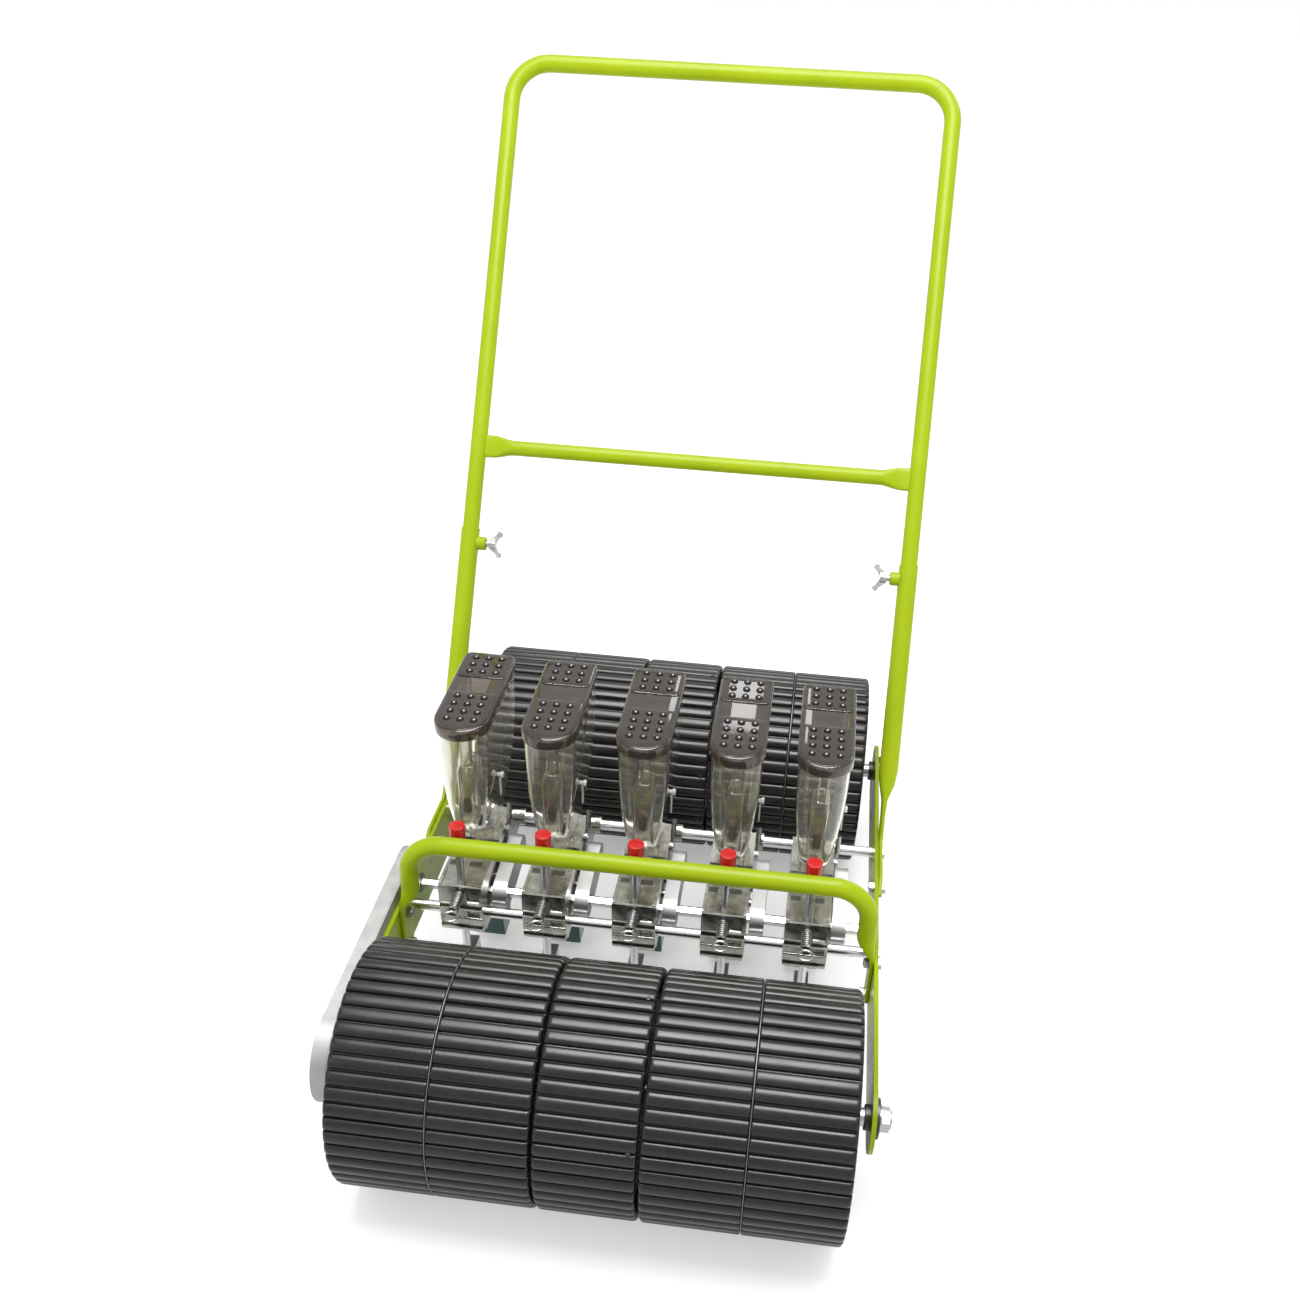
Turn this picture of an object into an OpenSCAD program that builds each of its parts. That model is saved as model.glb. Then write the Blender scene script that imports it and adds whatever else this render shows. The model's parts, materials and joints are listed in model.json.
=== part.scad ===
// Walk-behind seed planter with five seeding units between two ribbed rollers.
// +X runs along the rollers, +Y towards the person who pushes, +Z up.
// The ground is z = 0. Sizes are worked out in a construction frame whose y = 0 is the
// front axle and whose x = 0 is the middle of the rollers; place() then moves every
// piece so that the origin is under the middle of the whole planter.

/* [Rollers] */
// Diameter of a roller over its ribs
roller_d = 268; // [230:1:280]
// Width of one ribbed section of a roller
section_w = 106; // [104:0.2:108.8]
// Open groove between two shells of a roller
groove_w = 3; // [2:0.5:8]
// Thin seam between the two sections of a side shell
seam_w = 1.2; // [0.8:0.2:3]
// Depth of that seam below the foot of the ribs
seam_depth = 0.8; // [0.4:0.2:2]
// Number of ribs round a roller
rib_count = 50; // [30:2:60]
// Height of a rib
rib_h = 5; // [3:0.5:7]
// Wall of a roller shell under its ribs
shell_wall = 4; // [3:0.5:8]
// Thickness of the discs that carry a shell
disc_t = 6; // [4:0.5:10]
// How far a disc sits inside the end of its shell
disc_inset = 8; // [4:1:20]
// Diameter of a disc's hub
hub_d = 44; // [34:1:60]
// Room between a roller's end and the side plate
side_gap = 19.5; // [16:0.5:20]

/* [Axles and bearings] */
// Distance between the two axles
wheelbase = 640; // [600:5:700]
// Diameter of the axles
axle_d = 20; // [16:1:24]
// Body of a flanged axle bearing
bearing_d = 28; // [26:1:32]
// Flange of an axle bearing
flange_d = 44; // [38:1:52]
// Thickness of that flange
flange_t = 5; // [3:0.5:7]
// Length of an axle bearing inside the side plate
bearing_inside = 6; // [3:0.5:9]
// Across flats of an axle nut
axle_nut_af = 24; // [20:1:30]
// Thickness of an axle nut
axle_nut_t = 9; // [6:0.5:12]

/* [Side frame] */
// Thickness of the side plates
plate_t = 5; // [4:0.5:8]
// Height of the side plates
plate_h = 76; // [72:1:84]
// Diameter of the clamp bar and of the rear bar
bar_d = 14; // [12:0.5:16]
// Clamp bar, behind the front axle
clamp_bar_y = 251; // [249:1:252]
// Clamp bar, height
clamp_bar_z = 136; // [132:1:140]
// Rear bar, behind the front axle
rear_bar_y = 428; // [420:1:440]
// Rear bar, height
rear_bar_z = 152; // [148:1:156]
// Diameter of the front carry bar's tube
carry_tube_d = 25; // [20:1:28]
// Carry bar, behind the front axle
carry_y = 212; // [206:1:213]
// Height of the carry bar's middle line
carry_z = 270; // [262:0.5:290]
// Bend of the carry bar, on its middle line
carry_bend_r = 45; // [30:1:60]
// Width of a flattened tube end
blade_w = 32; // [26:1:36]
// Thickness of a flattened tube end
blade_t = 5; // [4:0.5:6]
// Diameter of the frame bolts
bolt_d = 8; // [6:1:10]
// Across flats of a frame bolt's head
bolt_af = 13; // [11:0.5:17]
// Height of a frame bolt's head
bolt_head = 5; // [3:0.5:5.5]

/* [Handle] */
// Outer diameter of the lower handle legs
leg_d = 25; // [24:0.5:28]
// Outer diameter of the handle loop's tube
loop_d = 22; // [18:0.5:22.5]
// How far a leg's round tube stands out from its flat foot
leg_set_out = 2; // [0:0.5:6]
// Wall of the frame's tubes
tube_wall = 1.5; // [1:0.1:3]
// Lean of the handle above the horizontal
handle_angle = 55.2; // [50:0.2:60]
// Where a leg's middle line meets the axles' height, behind the front axle
leg_base_y = 414; // [405:1:425]
// Length of a leg from that point to its open top
leg_len = 407; // [380:1:440]
// Distance from that point to the middle of the grip
grip_s = 1043.4; // [950:0.2:1100]
// Distance from that point to the crossbar
crossbar_s = 520; // [510:1:640]
// How deep the loop sits in the legs
overlap = 130; // [100:1:150]
// Bend of the handle's corners, on the middle line
grip_bend_r = 50; // [35:1:80]
// Wing bolts below the top of the legs
wing_drop = 19.6; // [14:0.2:30]
// Outer diameter of the crossbar
cross_d = 20; // [16:0.5:22]
// Height of the crossbar's flattened ends
cross_end_h = 30; // [24:1:34]
// Length of the crossbar's flattened ends
cross_end_l = 34; // [20:1:50]

/* [Main drive] */
// Pitch of the main chain
chain_pitch = 12.7; // [12.7]
// Teeth of both main sprockets, an even number
drive_teeth = 12; // [10:2:14]
// Chain pitches between the two sprockets
drive_span = 22; // [22]
// Rise from the front axle to the drive shaft
shaft_rise = 13; // [10:1:16]
// Across flats of the hexagonal drive shaft
hex_af = 12; // [10:0.5:13]
// Half height of the chain case round the front axle
case_front_r = 53; // [46:1:60]
// Half height of the chain case round the drive shaft
case_rear_r = 45; // [42:1:48]
// Depth of the chain case over its cover
case_depth = 19.5; // [18.5:0.5:24]
// Sheet of the chain case
case_sheet = 2; // [1.5:0.5:2]

/* [Seeding units] */
// Number of seeding units
unit_count = 5; // [5]
// Place of unit 1 along the clamp bar, from the middle
unit_1_x = -219; // [-223:1:-217]
// Place of unit 2
unit_2_x = -115; // [-117:1:-112]
// Place of unit 3
unit_3_x = -4; // [-8:1:0]
// Place of unit 4
unit_4_x = 105; // [102:1:108]
// Place of unit 5
unit_5_x = 206; // [204:1:210]
// Outer width of a unit's body
body_w = 54; // [50:1:55]
// Thickness of the body's cheeks
cheek_t = 3.5; // [2.5:0.5:5]
// Front of the clamp block, behind the front axle
block_front = 226; // [224:0.5:227]
// Length of the clamp block
block_len = 34; // [33:1:38]
// Underside of the clamp block
block_low = 118; // [114:1:120]
// Top of the clamp block
block_top = 196; // [194:1:198]
// Pitch of the units' small chains
small_pitch = 6.35; // [6.35]
// Teeth of a unit's small sprockets, an even number
small_teeth = 12; // [10:2:12]
// Chain pitches between a unit's sprockets
small_span = 12; // [12]
// Rise from the drive shaft to the seed shaft
seed_rise = 8; // [4:1:12]
// Diameter of the seed shafts
seed_shaft_d = 10; // [8:0.5:12]
// Diameter of a seed roller
seed_roller_d = 44; // [36:1:48]
// Width of a seed roller
seed_roller_w = 22; // [16:1:26]
// Seed pockets round a seed roller
seed_pockets = 12; // [8:1:16]
// Outer width of a gear case
gear_case_w = 18; // [17:0.5:20]
// Gap between a unit's body and its gear case
gear_gap = 3; // [2.5:0.5:6]
// Half height of a gear case
gear_case_r = 20; // [19:0.5:20.5]
// Wall of a gear case
gear_wall = 2; // [1.5:0.5:2.5]

/* [Hopper and lid] */
// Front of a hopper's rim, behind the front axle
hopper_front = 261; // [258:1:264]
// Length of a hopper
hopper_l = 171; // [168:1:176]
// Width of a hopper
hopper_w = 60; // [50:1:70]
// Height of a hopper's rim above the ground
hopper_top = 399; // [390:1:420]
// Height of the seat that a hopper stands on
hopper_seat = 196; // [190:1:200]
// Wall of a hopper
hopper_wall = 2.5; // [1.5:0.5:4]
// Corner radius at the back of a hopper
hopper_corner = 14; // [8:1:20]
// Thickness of a lid's top
lid_t = 3; // [2:0.5:5]
// Height of a lid's skirt
lid_skirt = 12; // [8:1:16]
// Wall of a lid's skirt
lid_wall = 2; // [1.5:0.5:3]
// Running gap between lid and hopper
lid_gap = 0.6; // [0.4:0.1:1]
// Radius of the bumps on a lid
bump_r = 4; // [3:0.5:4.5]
// Diameter of a lid's hinge pin
lid_pin_d = 4; // [3:0.5:5]

/* [Depth rod and clamp screw] */
// Depth rod in front of the clamp bar, between their middle lines
rod_ahead = 14; // [13.5:0.5:15]
// Diameter of a depth rod
rod_d = 10; // [8:0.5:11]
// Top of a depth rod's cap
cap_top = 282; // [270:1:300]
// Height of that cap
cap_h = 20; // [14:1:26]
// Diameter of that cap
cap_d = 18; // [16:0.5:20]
// Lowest point of the furrow opener above the ground
opener_low = 30; // [26:1:40]
// Height of the furrow opener
opener_h = 50; // [40:1:54]
// Length of the furrow opener
opener_l = 56; // [44:1:60]
// Width of the furrow opener
opener_w = 18; // [15:1:24]
// Height of the clamp screw
screw_z = 184; // [180:1:186]
// Diameter of the clamp screw
screw_d = 8; // [6:0.5:9]
// Room for the spring between block and collar
spring_l = 30; // [26:1:36]
// Coils of the anti-rattle spring
spring_coils = 8; // [5:1:9]
// Wire of that spring
spring_wire = 1.4; // [1:0.1:1.8]
// Outer diameter of that spring
spring_d = 13; // [12:0.5:15]
// Outer diameter of the clamp screw's ring
ring_d = 20; // [16:0.5:24]

/* [Seed lever] */
// Pivot of the lever above the seed shaft
lever_rise = 32; // [30:1:38]
// Length of a lever from its pivot
lever_l = 36; // [28:1:44]
// Diameter of a lever's knob
lever_d = 7; // [5:0.5:8]
// Lean of a lever to the back
lever_lean = 22; // [0:1:35]

/* [Fits] */
// Radial clearance of a running or assembly fit
fit = 0.05; // [0.03:0.01:0.09]
// Gap that keeps two neighbours from touching
clear = 0.3; // [0.2:0.05:0.5]

/* [Hidden] */
tiny = 0.01;
units = [for (k = [1:unit_count]) k];
function names(part) = [for (k = units) str("unit_", k, "_", part)];

// Rollers
roller_r = roller_d / 2;
rib_crest = 0.12;
rib_steps = [-0.45, -0.4, -0.28, -rib_crest, rib_crest, 0.28, 0.4, 0.45];
axle_z = (roller_r - rib_drop(rib_crest)) * cos(360 / rib_count * rib_crest);
rib_foot_r = roller_r - rib_h;
shell_in_r = rib_foot_r - shell_wall;
roller_w = 5 * section_w + 2 * groove_w;
plate_in = roller_w / 2 + side_gap;
plate_out = plate_in + plate_t;

// Chain drives: both sprockets of a drive are equal and a whole number of pitches apart
function pitch_r(pitch, teeth) = pitch / (2 * sin(180 / teeth));
function drive_tilt(rise, pitch, span) = asin(rise / (span * pitch));
main_tilt = drive_tilt(shaft_rise, chain_pitch, drive_span);
shaft_y = drive_span * chain_pitch * cos(main_tilt);
shaft_z = axle_z + shaft_rise;
small_tilt = drive_tilt(seed_rise, small_pitch, small_span);
seed_y = shaft_y + small_span * small_pitch * cos(small_tilt);
seed_z = shaft_z + seed_rise;
chain_roller_r = 3.9;
chain_plate_r = 5.2;
chain_waist = 7.6;
chain_plate_t = 1;
chain_inner_half = 1.7;
chain_half_w = 3.9;
chain_plane = plate_out + case_sheet + 9.4;
sprocket_t = 2.8;
hex_r = hex_af / 2 / cos(30);

// Units, across
body_half = body_w / 2;
cheek_in = body_half - cheek_t;
gear_in = body_half + gear_gap;
gear_out = gear_in + gear_case_w;
gear_mid = (gear_in + gear_out) / 2;
block_back = block_front + block_len;
rod_y = clamp_bar_y - rod_ahead;
function unit_x(k) = [unit_1_x, unit_2_x, unit_3_x, unit_4_x, unit_5_x][k - 1];

// Overall reach, for the origin
case_reach = plate_out + case_depth + 2;
nut_reach = plate_out + flange_t + 1 + axle_nut_t + 3;
leg_x = plate_out + blade_t / 2 + leg_set_out;
leg_reach = leg_x + leg_d / 2;
origin_x = (max(nut_reach, leg_reach) - max(nut_reach, leg_reach, case_reach)) / 2;
handle_back = leg_base_y + grip_s * cos(handle_angle) + loop_d / 2;
origin_y = (handle_back - roller_r) / 2;

module place() {
    translate([-origin_x, -origin_y, 0]) children();
}

// A shape drawn in the side view (y, z), extruded along X
module side_profile(x0, x1) {
    translate([x0, 0, 0]) rotate([90, 0, 90]) linear_extrude(x1 - x0) children();
}

// A round rod along X
module x_rod(x0, x1, y, z, r, faces = 48) {
    translate([x0, y, z]) rotate([0, 90, 0]) cylinder(h = x1 - x0, r = r, $fn = faces);
}

// A hexagon prism along X, given across flats
module x_hex(x0, x1, y, z, af) {
    translate([x0, y, z]) rotate([0, 90, 0]) cylinder(h = x1 - x0, r = af / 2 / cos(30), $fn = 6);
}

// A straight bar with round ends, drawn in the side view
module side_slot(y0, z0, y1, z1, r) {
    len = norm([y1 - y0, z1 - z0]);
    translate([y0, z0]) rotate(atan2(z1 - z0, y1 - y0)) union() {
        circle(r, $fn = 48);
        translate([len, 0]) circle(r, $fn = 48);
        translate([0, -r]) square([len, 2 * r]);
    }
}

// The handle's own frame: local X across, local Y up the legs, origin on the leg line
module handle_frame() {
    translate([0, leg_base_y, axle_z]) rotate([handle_angle, 0, 0]) children();
}

// Rollers

// One rib spans one pitch: it falls from its crest by a cubic super-ellipse
function rib_drop(t) = rib_h * (1 - pow(1 - pow(abs(t) / 0.451, 3), 1 / 3));
function rib_outline() = [
    for (i = [0:rib_count - 1]) for (t = rib_steps)
        let (a = 360 / rib_count * (i + t) - 90, r = roller_r - rib_drop(t)) [r * cos(a), r * sin(a)]];

module drum_shell(x0, sections) {
    difference() {
        side_profile(x0, x0 + sections * section_w) difference() {
            polygon(rib_outline());
            circle(shell_in_r, $fn = 96);
        }
        for (i = [1:1:sections - 1]) side_profile(x0 + i * section_w - seam_w / 2,
            x0 + i * section_w + seam_w / 2) difference() {
            circle(roller_r + 1, $fn = 96);
            circle(rib_foot_r - seam_depth, $fn = 96);
        }
    }
}

shell_starts = [[-roller_w / 2, 2], [-section_w / 2, 1], [section_w / 2 + groove_w, 2]];

module drums(y) {
    for (s = shell_starts) translate([0, y, axle_z]) drum_shell(s[0], s[1]);
}

module drum_disc(x) {
    side_profile(x, x + disc_t) difference() {
        circle(shell_in_r - fit, $fn = 96);
        circle(axle_d / 2 + fit, $fn = 48);
    }
}

module disc_hub(x0, x1) {
    side_profile(x0, x1) difference() {
        circle(hub_d / 2, $fn = 48);
        circle(axle_d / 2 + fit, $fn = 48);
    }
}

module drum_discs(y) {
    hub_l = disc_t + disc_inset - 1;
    for (s = shell_starts) translate([0, y, axle_z]) {
        w = s[1] * section_w;
        union() {
            drum_disc(s[0] + disc_inset);
            disc_hub(s[0] + disc_inset, s[0] + disc_inset + hub_l);
        }
        union() {
            drum_disc(s[0] + w - disc_inset - disc_t);
            disc_hub(s[0] + w - disc_inset - hub_l, s[0] + w - disc_inset);
        }
    }
}

module front_drums() {
    place() color("#26262a") drums(0);
}

module rear_drums() {
    place() color("#26262a") drums(wheelbase);
}

module front_drum_discs() {
    place() color("#303034") drum_discs(0);
}

module rear_drum_discs() {
    place() color("#303034") drum_discs(wheelbase);
}

// Axles: a plain shaft, and beyond each bearing a washer and a nut
module axle_end(side, y) {
    inner = plate_out + flange_t + 0.5;
    mirror([side < 0 ? 1 : 0, 0, 0]) {
        x_rod(inner, inner + 1.5, y, axle_z, axle_nut_af / 2 + 3);
        x_hex(inner + 1.5, inner + 1.5 + axle_nut_t, y, axle_z, axle_nut_af);
    }
}

module front_axle() {
    place() color("silver") {
        x_rod(-(chain_plane + sprocket_t / 2 + 2), nut_reach, 0, axle_z, axle_d / 2);
        axle_end(1, 0);
    }
}

module rear_axle() {
    place() color("silver") {
        x_rod(-nut_reach, nut_reach, wheelbase, axle_z, axle_d / 2);
        axle_end(1, wheelbase);
        axle_end(-1, wheelbase);
    }
}

module axle_bearing(side, y) {
    mirror([side < 0 ? 1 : 0, 0, 0]) difference() {
        union() {
            x_rod(plate_in - bearing_inside, plate_out, y, axle_z, bearing_d / 2 - fit);
            x_rod(plate_out, plate_out + flange_t, y, axle_z, flange_d / 2);
        }
        x_rod(plate_in - bearing_inside - 1, plate_out + flange_t + 1, y, axle_z, axle_d / 2 + fit);
    }
}

shaft_end_r = hex_af / 2 - 0.5;
shaft_bush_r = shaft_end_r + 4;

module shaft_bearing(side) {
    mirror([side < 0 ? 1 : 0, 0, 0]) difference() {
        union() {
            x_rod(plate_in - 3, plate_in, shaft_y, shaft_z, shaft_bush_r + 3);
            x_rod(plate_in, plate_out, shaft_y, shaft_z, shaft_bush_r - fit);
        }
        x_rod(plate_in - 4, plate_out + 1, shaft_y, shaft_z, shaft_end_r + fit);
    }
}

module axle_bearings() {
    place() color("#1d1d20") {
        for (side = [-1, 1]) {
            axle_bearing(side, 0);
            axle_bearing(side, wheelbase);
            shaft_bearing(side);
        }
    }
}

// Side frame

leg_bolt_y = leg_base_y - 66;
leg_bolt_z = axle_z + 26;
carry_bolts = [axle_z + 24, axle_z - 28];

module side_plate(side) {
    x0 = side > 0 ? plate_in : -plate_out;
    side_profile(x0, x0 + plate_t) difference() {
        side_slot(0, axle_z, wheelbase, axle_z, plate_h / 2);
        for (y = [0, wheelbase]) translate([y, axle_z]) circle(bearing_d / 2, $fn = 48);
        translate([shaft_y, shaft_z]) circle(shaft_bush_r, $fn = 48);
        for (z = carry_bolts) translate([carry_y, z]) circle(bolt_d / 2 + fit, $fn = 32);
        translate([clamp_bar_y, clamp_bar_z]) circle(bolt_d / 2 + fit, $fn = 32);
        translate([rear_bar_y, rear_bar_z]) circle(bolt_d / 2 + fit, $fn = 32);
        translate([leg_bolt_y, leg_bolt_z]) circle(bolt_d / 2 + fit, $fn = 32);
    }
}

module side_plate_left() {
    place() color("#9acd14") side_plate(-1);
}

module side_plate_right() {
    place() color("#9acd14") side_plate(1);
}

// A round bar between the side plates, tapped at both ends for its bolts
bar_tap = 20;
module cross_bar(y, z) {
    difference() {
        x_rod(-plate_in, plate_in, y, z, bar_d / 2);
        for (side = [-1, 1]) x_rod(side * plate_in - bar_tap, side * plate_in + bar_tap, y, z,
            bolt_d / 2 + fit, 32);
    }
}

module clamp_bar() {
    place() color("silver") cross_bar(clamp_bar_y, clamp_bar_z);
}

module rear_bar() {
    place() color("silver") cross_bar(rear_bar_y, rear_bar_z);
}

// Front carry bar: a U of tube whose flattened feet are bolted inside the side plates
carry_x = plate_in - carry_tube_d / 2;
carry_foot_top = axle_z + plate_h / 2 + 2;
carry_foot_low = axle_z - plate_h / 2 + 2;

carry_round_z = carry_foot_top + 22;
tube_sunk = 1;
tube_step = 0.2;

// A tube pressed flat: a blade at z = 0 whose face is at x0, and round at z = h
module flat_to_round(h, x0, w, r) {
    reach = r + 2.5;
    intersection() {
        rotate([90, 0, 0]) translate([0, 0, -w]) linear_extrude(2 * w) polygon([
            [x0 + tube_step, 0], [x0 + blade_t - tube_step, 0], [reach, h], [-reach, h]]);
        translate([-2 * r, 0, 0]) rotate([90, 0, 90]) linear_extrude(4 * r) polygon([
            [tube_step - w / 2, 0], [w / 2 - tube_step, 0], [reach, h], [-reach, h]]);
        cylinder(h = h, r1 = r + w / 2, r2 = r - tube_step, $fn = 48);
    }
}

// A quarter bend of tube in the local XY plane, from +X to +Y
module tube_bend(bend_r, d) {
    rotate_extrude(angle = 90, $fn = 96) translate([bend_r, 0]) difference() {
        circle(d / 2, $fn = 48);
        circle(d / 2 - tube_wall, $fn = 48);
    }
}

module tube(d, h) {
    difference() {
        cylinder(h = h, r = d / 2, $fn = 48);
        translate([0, 0, -1]) cylinder(h = h + 2, r = d / 2 - tube_wall, $fn = 48);
    }
}

// The carry bar's own plane: local X across, local Y up
module carry_plane() {
    translate([0, carry_y, 0]) rotate([90, 0, 0]) children();
}

module carry_leg() {
    translate([carry_x, carry_y, carry_foot_top - tube_sunk])
        flat_to_round(carry_round_z - carry_foot_top + tube_sunk, plate_in - blade_t - carry_x,
            blade_w, carry_tube_d / 2);
    side_profile(plate_in - blade_t, plate_in) difference() {
        union() {
            translate([carry_y - blade_w / 2, carry_foot_low + blade_w / 4])
                square([blade_w, carry_foot_top - carry_foot_low - blade_w / 4]);
            translate([carry_y - blade_w / 4, carry_foot_low]) square([blade_w / 2, blade_w / 2]);
            for (s = [-1, 1]) translate([carry_y + s * blade_w / 4, carry_foot_low + blade_w / 4])
                circle(blade_w / 4, $fn = 32);
        }
        for (z = carry_bolts) translate([carry_y, z]) circle(bolt_d / 2 + fit, $fn = 32);
    }
}

module front_carry_bar() {
    place() color("#9acd14") union() {
        for (side = [-1, 1]) mirror([side < 0 ? 1 : 0, 0, 0]) {
            carry_leg();
            carry_plane() {
                translate([carry_x, carry_z - carry_bend_r, 0]) rotate([90, 0, 0])
                    tube(carry_tube_d, carry_z - carry_bend_r - carry_round_z + tube_sunk);
                translate([carry_x - carry_bend_r, carry_z - carry_bend_r, 0])
                    tube_bend(carry_bend_r, carry_tube_d);
            }
        }
        carry_plane() translate([-(carry_x - carry_bend_r), carry_z, 0]) rotate([0, 90, 0])
            tube(carry_tube_d, 2 * (carry_x - carry_bend_r));
    }
}

// Handle legs: a round tube that is flattened at the foot and bolted outside the side plate
bend_s = (leg_bolt_z - axle_z) / sin(handle_angle);
bend_y = leg_base_y + bend_s * cos(handle_angle);
flat_s = 90;
round_s = 125;
bore_from = round_s + 8;
blade_neck = blade_w - 0.8;

module leg_blade() {
    side_profile(plate_out, plate_out + blade_t) difference() {
        union() {
            side_slot(leg_bolt_y, leg_bolt_z, bend_y, leg_bolt_z, blade_w / 2);
            translate([leg_base_y, axle_z]) rotate(handle_angle) translate([bend_s, -blade_neck / 2])
                square([flat_s - bend_s, blade_neck]);
        }
        translate([leg_bolt_y, leg_bolt_z]) circle(bolt_d / 2 + fit, $fn = 32);
        translate([rear_bar_y, rear_bar_z]) circle(bolt_d / 2 + fit, $fn = 32);
    }
}

module wing_boss() {
    boss_l = 12;
    translate([leg_x - leg_d / 2 - boss_l + 1, leg_len - wing_drop, 0]) rotate([0, 90, 0])
        cylinder(h = boss_l, r = wing_boss_r, $fn = 48);
}

wing_boss_r = 9;
wing_d = 8;

module handle_leg(side) {
    mirror([side < 0 ? 1 : 0, 0, 0]) union() {
        leg_blade();
        handle_frame() {
            translate([leg_x, flat_s - tube_sunk, 0]) rotate([-90, 0, 0]) flat_to_round(
                round_s - flat_s + tube_sunk, plate_out - leg_x, blade_neck, leg_d / 2);
            difference() {
                union() {
                    translate([leg_x, leg_len, 0]) rotate([90, 0, 0])
                        cylinder(h = leg_len - round_s + tube_sunk, r = leg_d / 2, $fn = 48);
                    wing_boss();
                }
                translate([leg_x, leg_len + 1, 0]) rotate([90, 0, 0])
                    cylinder(h = leg_len + 1 - bore_from, r = loop_d / 2 + fit, $fn = 48);
                translate([leg_x - leg_d, leg_len - wing_drop, 0]) rotate([0, 90, 0])
                    cylinder(h = leg_d, r = wing_d / 2 + fit, $fn = 32);
            }
        }
    }
}

module handle_leg_left() {
    place() color("#9acd14") handle_leg(-1);
}

module handle_leg_right() {
    place() color("#9acd14") handle_leg(1);
}

// Handle loop: an inverted U of tube with a crossbar welded in, its ends flattened upright
loop_low = leg_len - overlap;
weld_depth = 1.2;
cross_end_t = 8;

module loop_side() {
    straight = grip_s - grip_bend_r - loop_low;
    translate([leg_x, grip_s - grip_bend_r, 0]) rotate([90, 0, 0]) tube(loop_d, straight);
    translate([leg_x - grip_bend_r, grip_s - grip_bend_r, 0]) tube_bend(grip_bend_r, loop_d);
    cross_in = leg_x - loop_d / 2 + weld_depth;
    hull() {
        translate([cross_in - cross_end_l, crossbar_s, 0]) rotate([0, 90, 0])
            cylinder(h = tiny, r = cross_d / 2, $fn = 32);
        translate([cross_in - cross_end_l * 0.5, crossbar_s - cross_end_h / 2, -cross_end_t / 2])
            cube([tiny, cross_end_h, cross_end_t]);
    }
    translate([cross_in - cross_end_l * 0.5, crossbar_s - cross_end_h / 2, -cross_end_t / 2])
        cube([cross_end_l * 0.5, cross_end_h, cross_end_t]);
}

module handle_loop() {
    place() color("#9acd14") handle_frame() union() {
        for (side = [-1, 1]) mirror([side < 0 ? 1 : 0, 0, 0]) loop_side();
        straight = leg_x - grip_bend_r;
        translate([-straight, grip_s, 0]) rotate([0, 90, 0]) tube(loop_d, 2 * straight);
        cross = leg_x - loop_d / 2 + weld_depth - cross_end_l;
        translate([-cross, crossbar_s, 0]) rotate([0, 90, 0]) tube(cross_d, 2 * cross);
    }
}

// Wing bolts: a threaded shank, a round neck and two wings, pointing inwards
module wing_bolt(side) {
    tip = leg_x - loop_d / 2 - clear;
    head = leg_x - leg_d / 2 - 11 - 6;
    wing_t = 3;
    mirror([side < 0 ? 1 : 0, 0, 0]) handle_frame() translate([0, leg_len - wing_drop, 0]) {
        translate([head - 7, 0, 0]) rotate([0, 90, 0])
            cylinder(h = tip - head + 7, r = wing_d / 2, $fn = 32);
        translate([head - 7, 0, 0]) rotate([0, 90, 0]) cylinder(h = 9, r = 6.5, $fn = 32);
        translate([head, 0, -wing_t / 2]) linear_extrude(wing_t) for (s = [-1, 1]) {
            polygon([[-6, 0], [1, 0], [1, s * 7], [-9, s * 14], [-15, s * 14]]);
            translate([-12, s * 14]) circle(4, $fn = 32);
        }
    }
}

module wing_bolt_left() {
    place() color("#d8dce0") wing_bolt(-1);
}

module wing_bolt_right() {
    place() color("#d8dce0") wing_bolt(1);
}

// Frame fasteners: hexagon bolts with their nuts, all along X
module bolt_out(y, z, head_x, tip_x) {
    x_hex(head_x, head_x + bolt_head, y, z, bolt_af);
    x_rod(tip_x, head_x, y, z, bolt_d / 2, 32);
}

module bolt_nut(y, z, x, thick) {
    difference() {
        x_hex(x - thick, x, y, z, bolt_af);
        x_rod(x - thick - 1, x + 1, y, z, bolt_d / 2 + fit, 32);
    }
}

module side_fasteners() {
    nut_t = 6;
    for (z = carry_bolts) {
        bolt_out(carry_y, z, plate_out, plate_in - blade_t - nut_t - 1);
        bolt_nut(carry_y, z, plate_in - blade_t, nut_t);
    }
    bolt_out(clamp_bar_y, clamp_bar_z, plate_out, plate_in - bar_tap + 2);
    bolt_out(rear_bar_y, rear_bar_z, plate_out + blade_t, plate_in - bar_tap + 2);
    bolt_out(leg_bolt_y, leg_bolt_z, plate_out + blade_t, plate_in - nut_t - 1);
    bolt_nut(leg_bolt_y, leg_bolt_z, plate_in, nut_t);
}

module frame_fasteners() {
    place() color("#c9cdd2") {
        for (side = [-1, 1]) mirror([side < 0 ? 1 : 0, 0, 0]) side_fasteners();
        for (p = case_screws) mirror([1, 0, 0]) {
            x_rod(plate_out + case_depth, plate_out + case_depth + 2, p[0], p[1], 4.5, 32);
            x_rod(plate_out + case_sheet + 2, plate_out + case_depth, p[0], p[1], case_screw_r, 32);
        }
    }
}

// Main chain drive

function on_line(c, dist, tilt) = [c[0] + dist * cos(tilt), c[1] + dist * sin(tilt)];
function round_point(c, r, a) = [c[0] + r * cos(a), c[1] + r * sin(a)];

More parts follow.
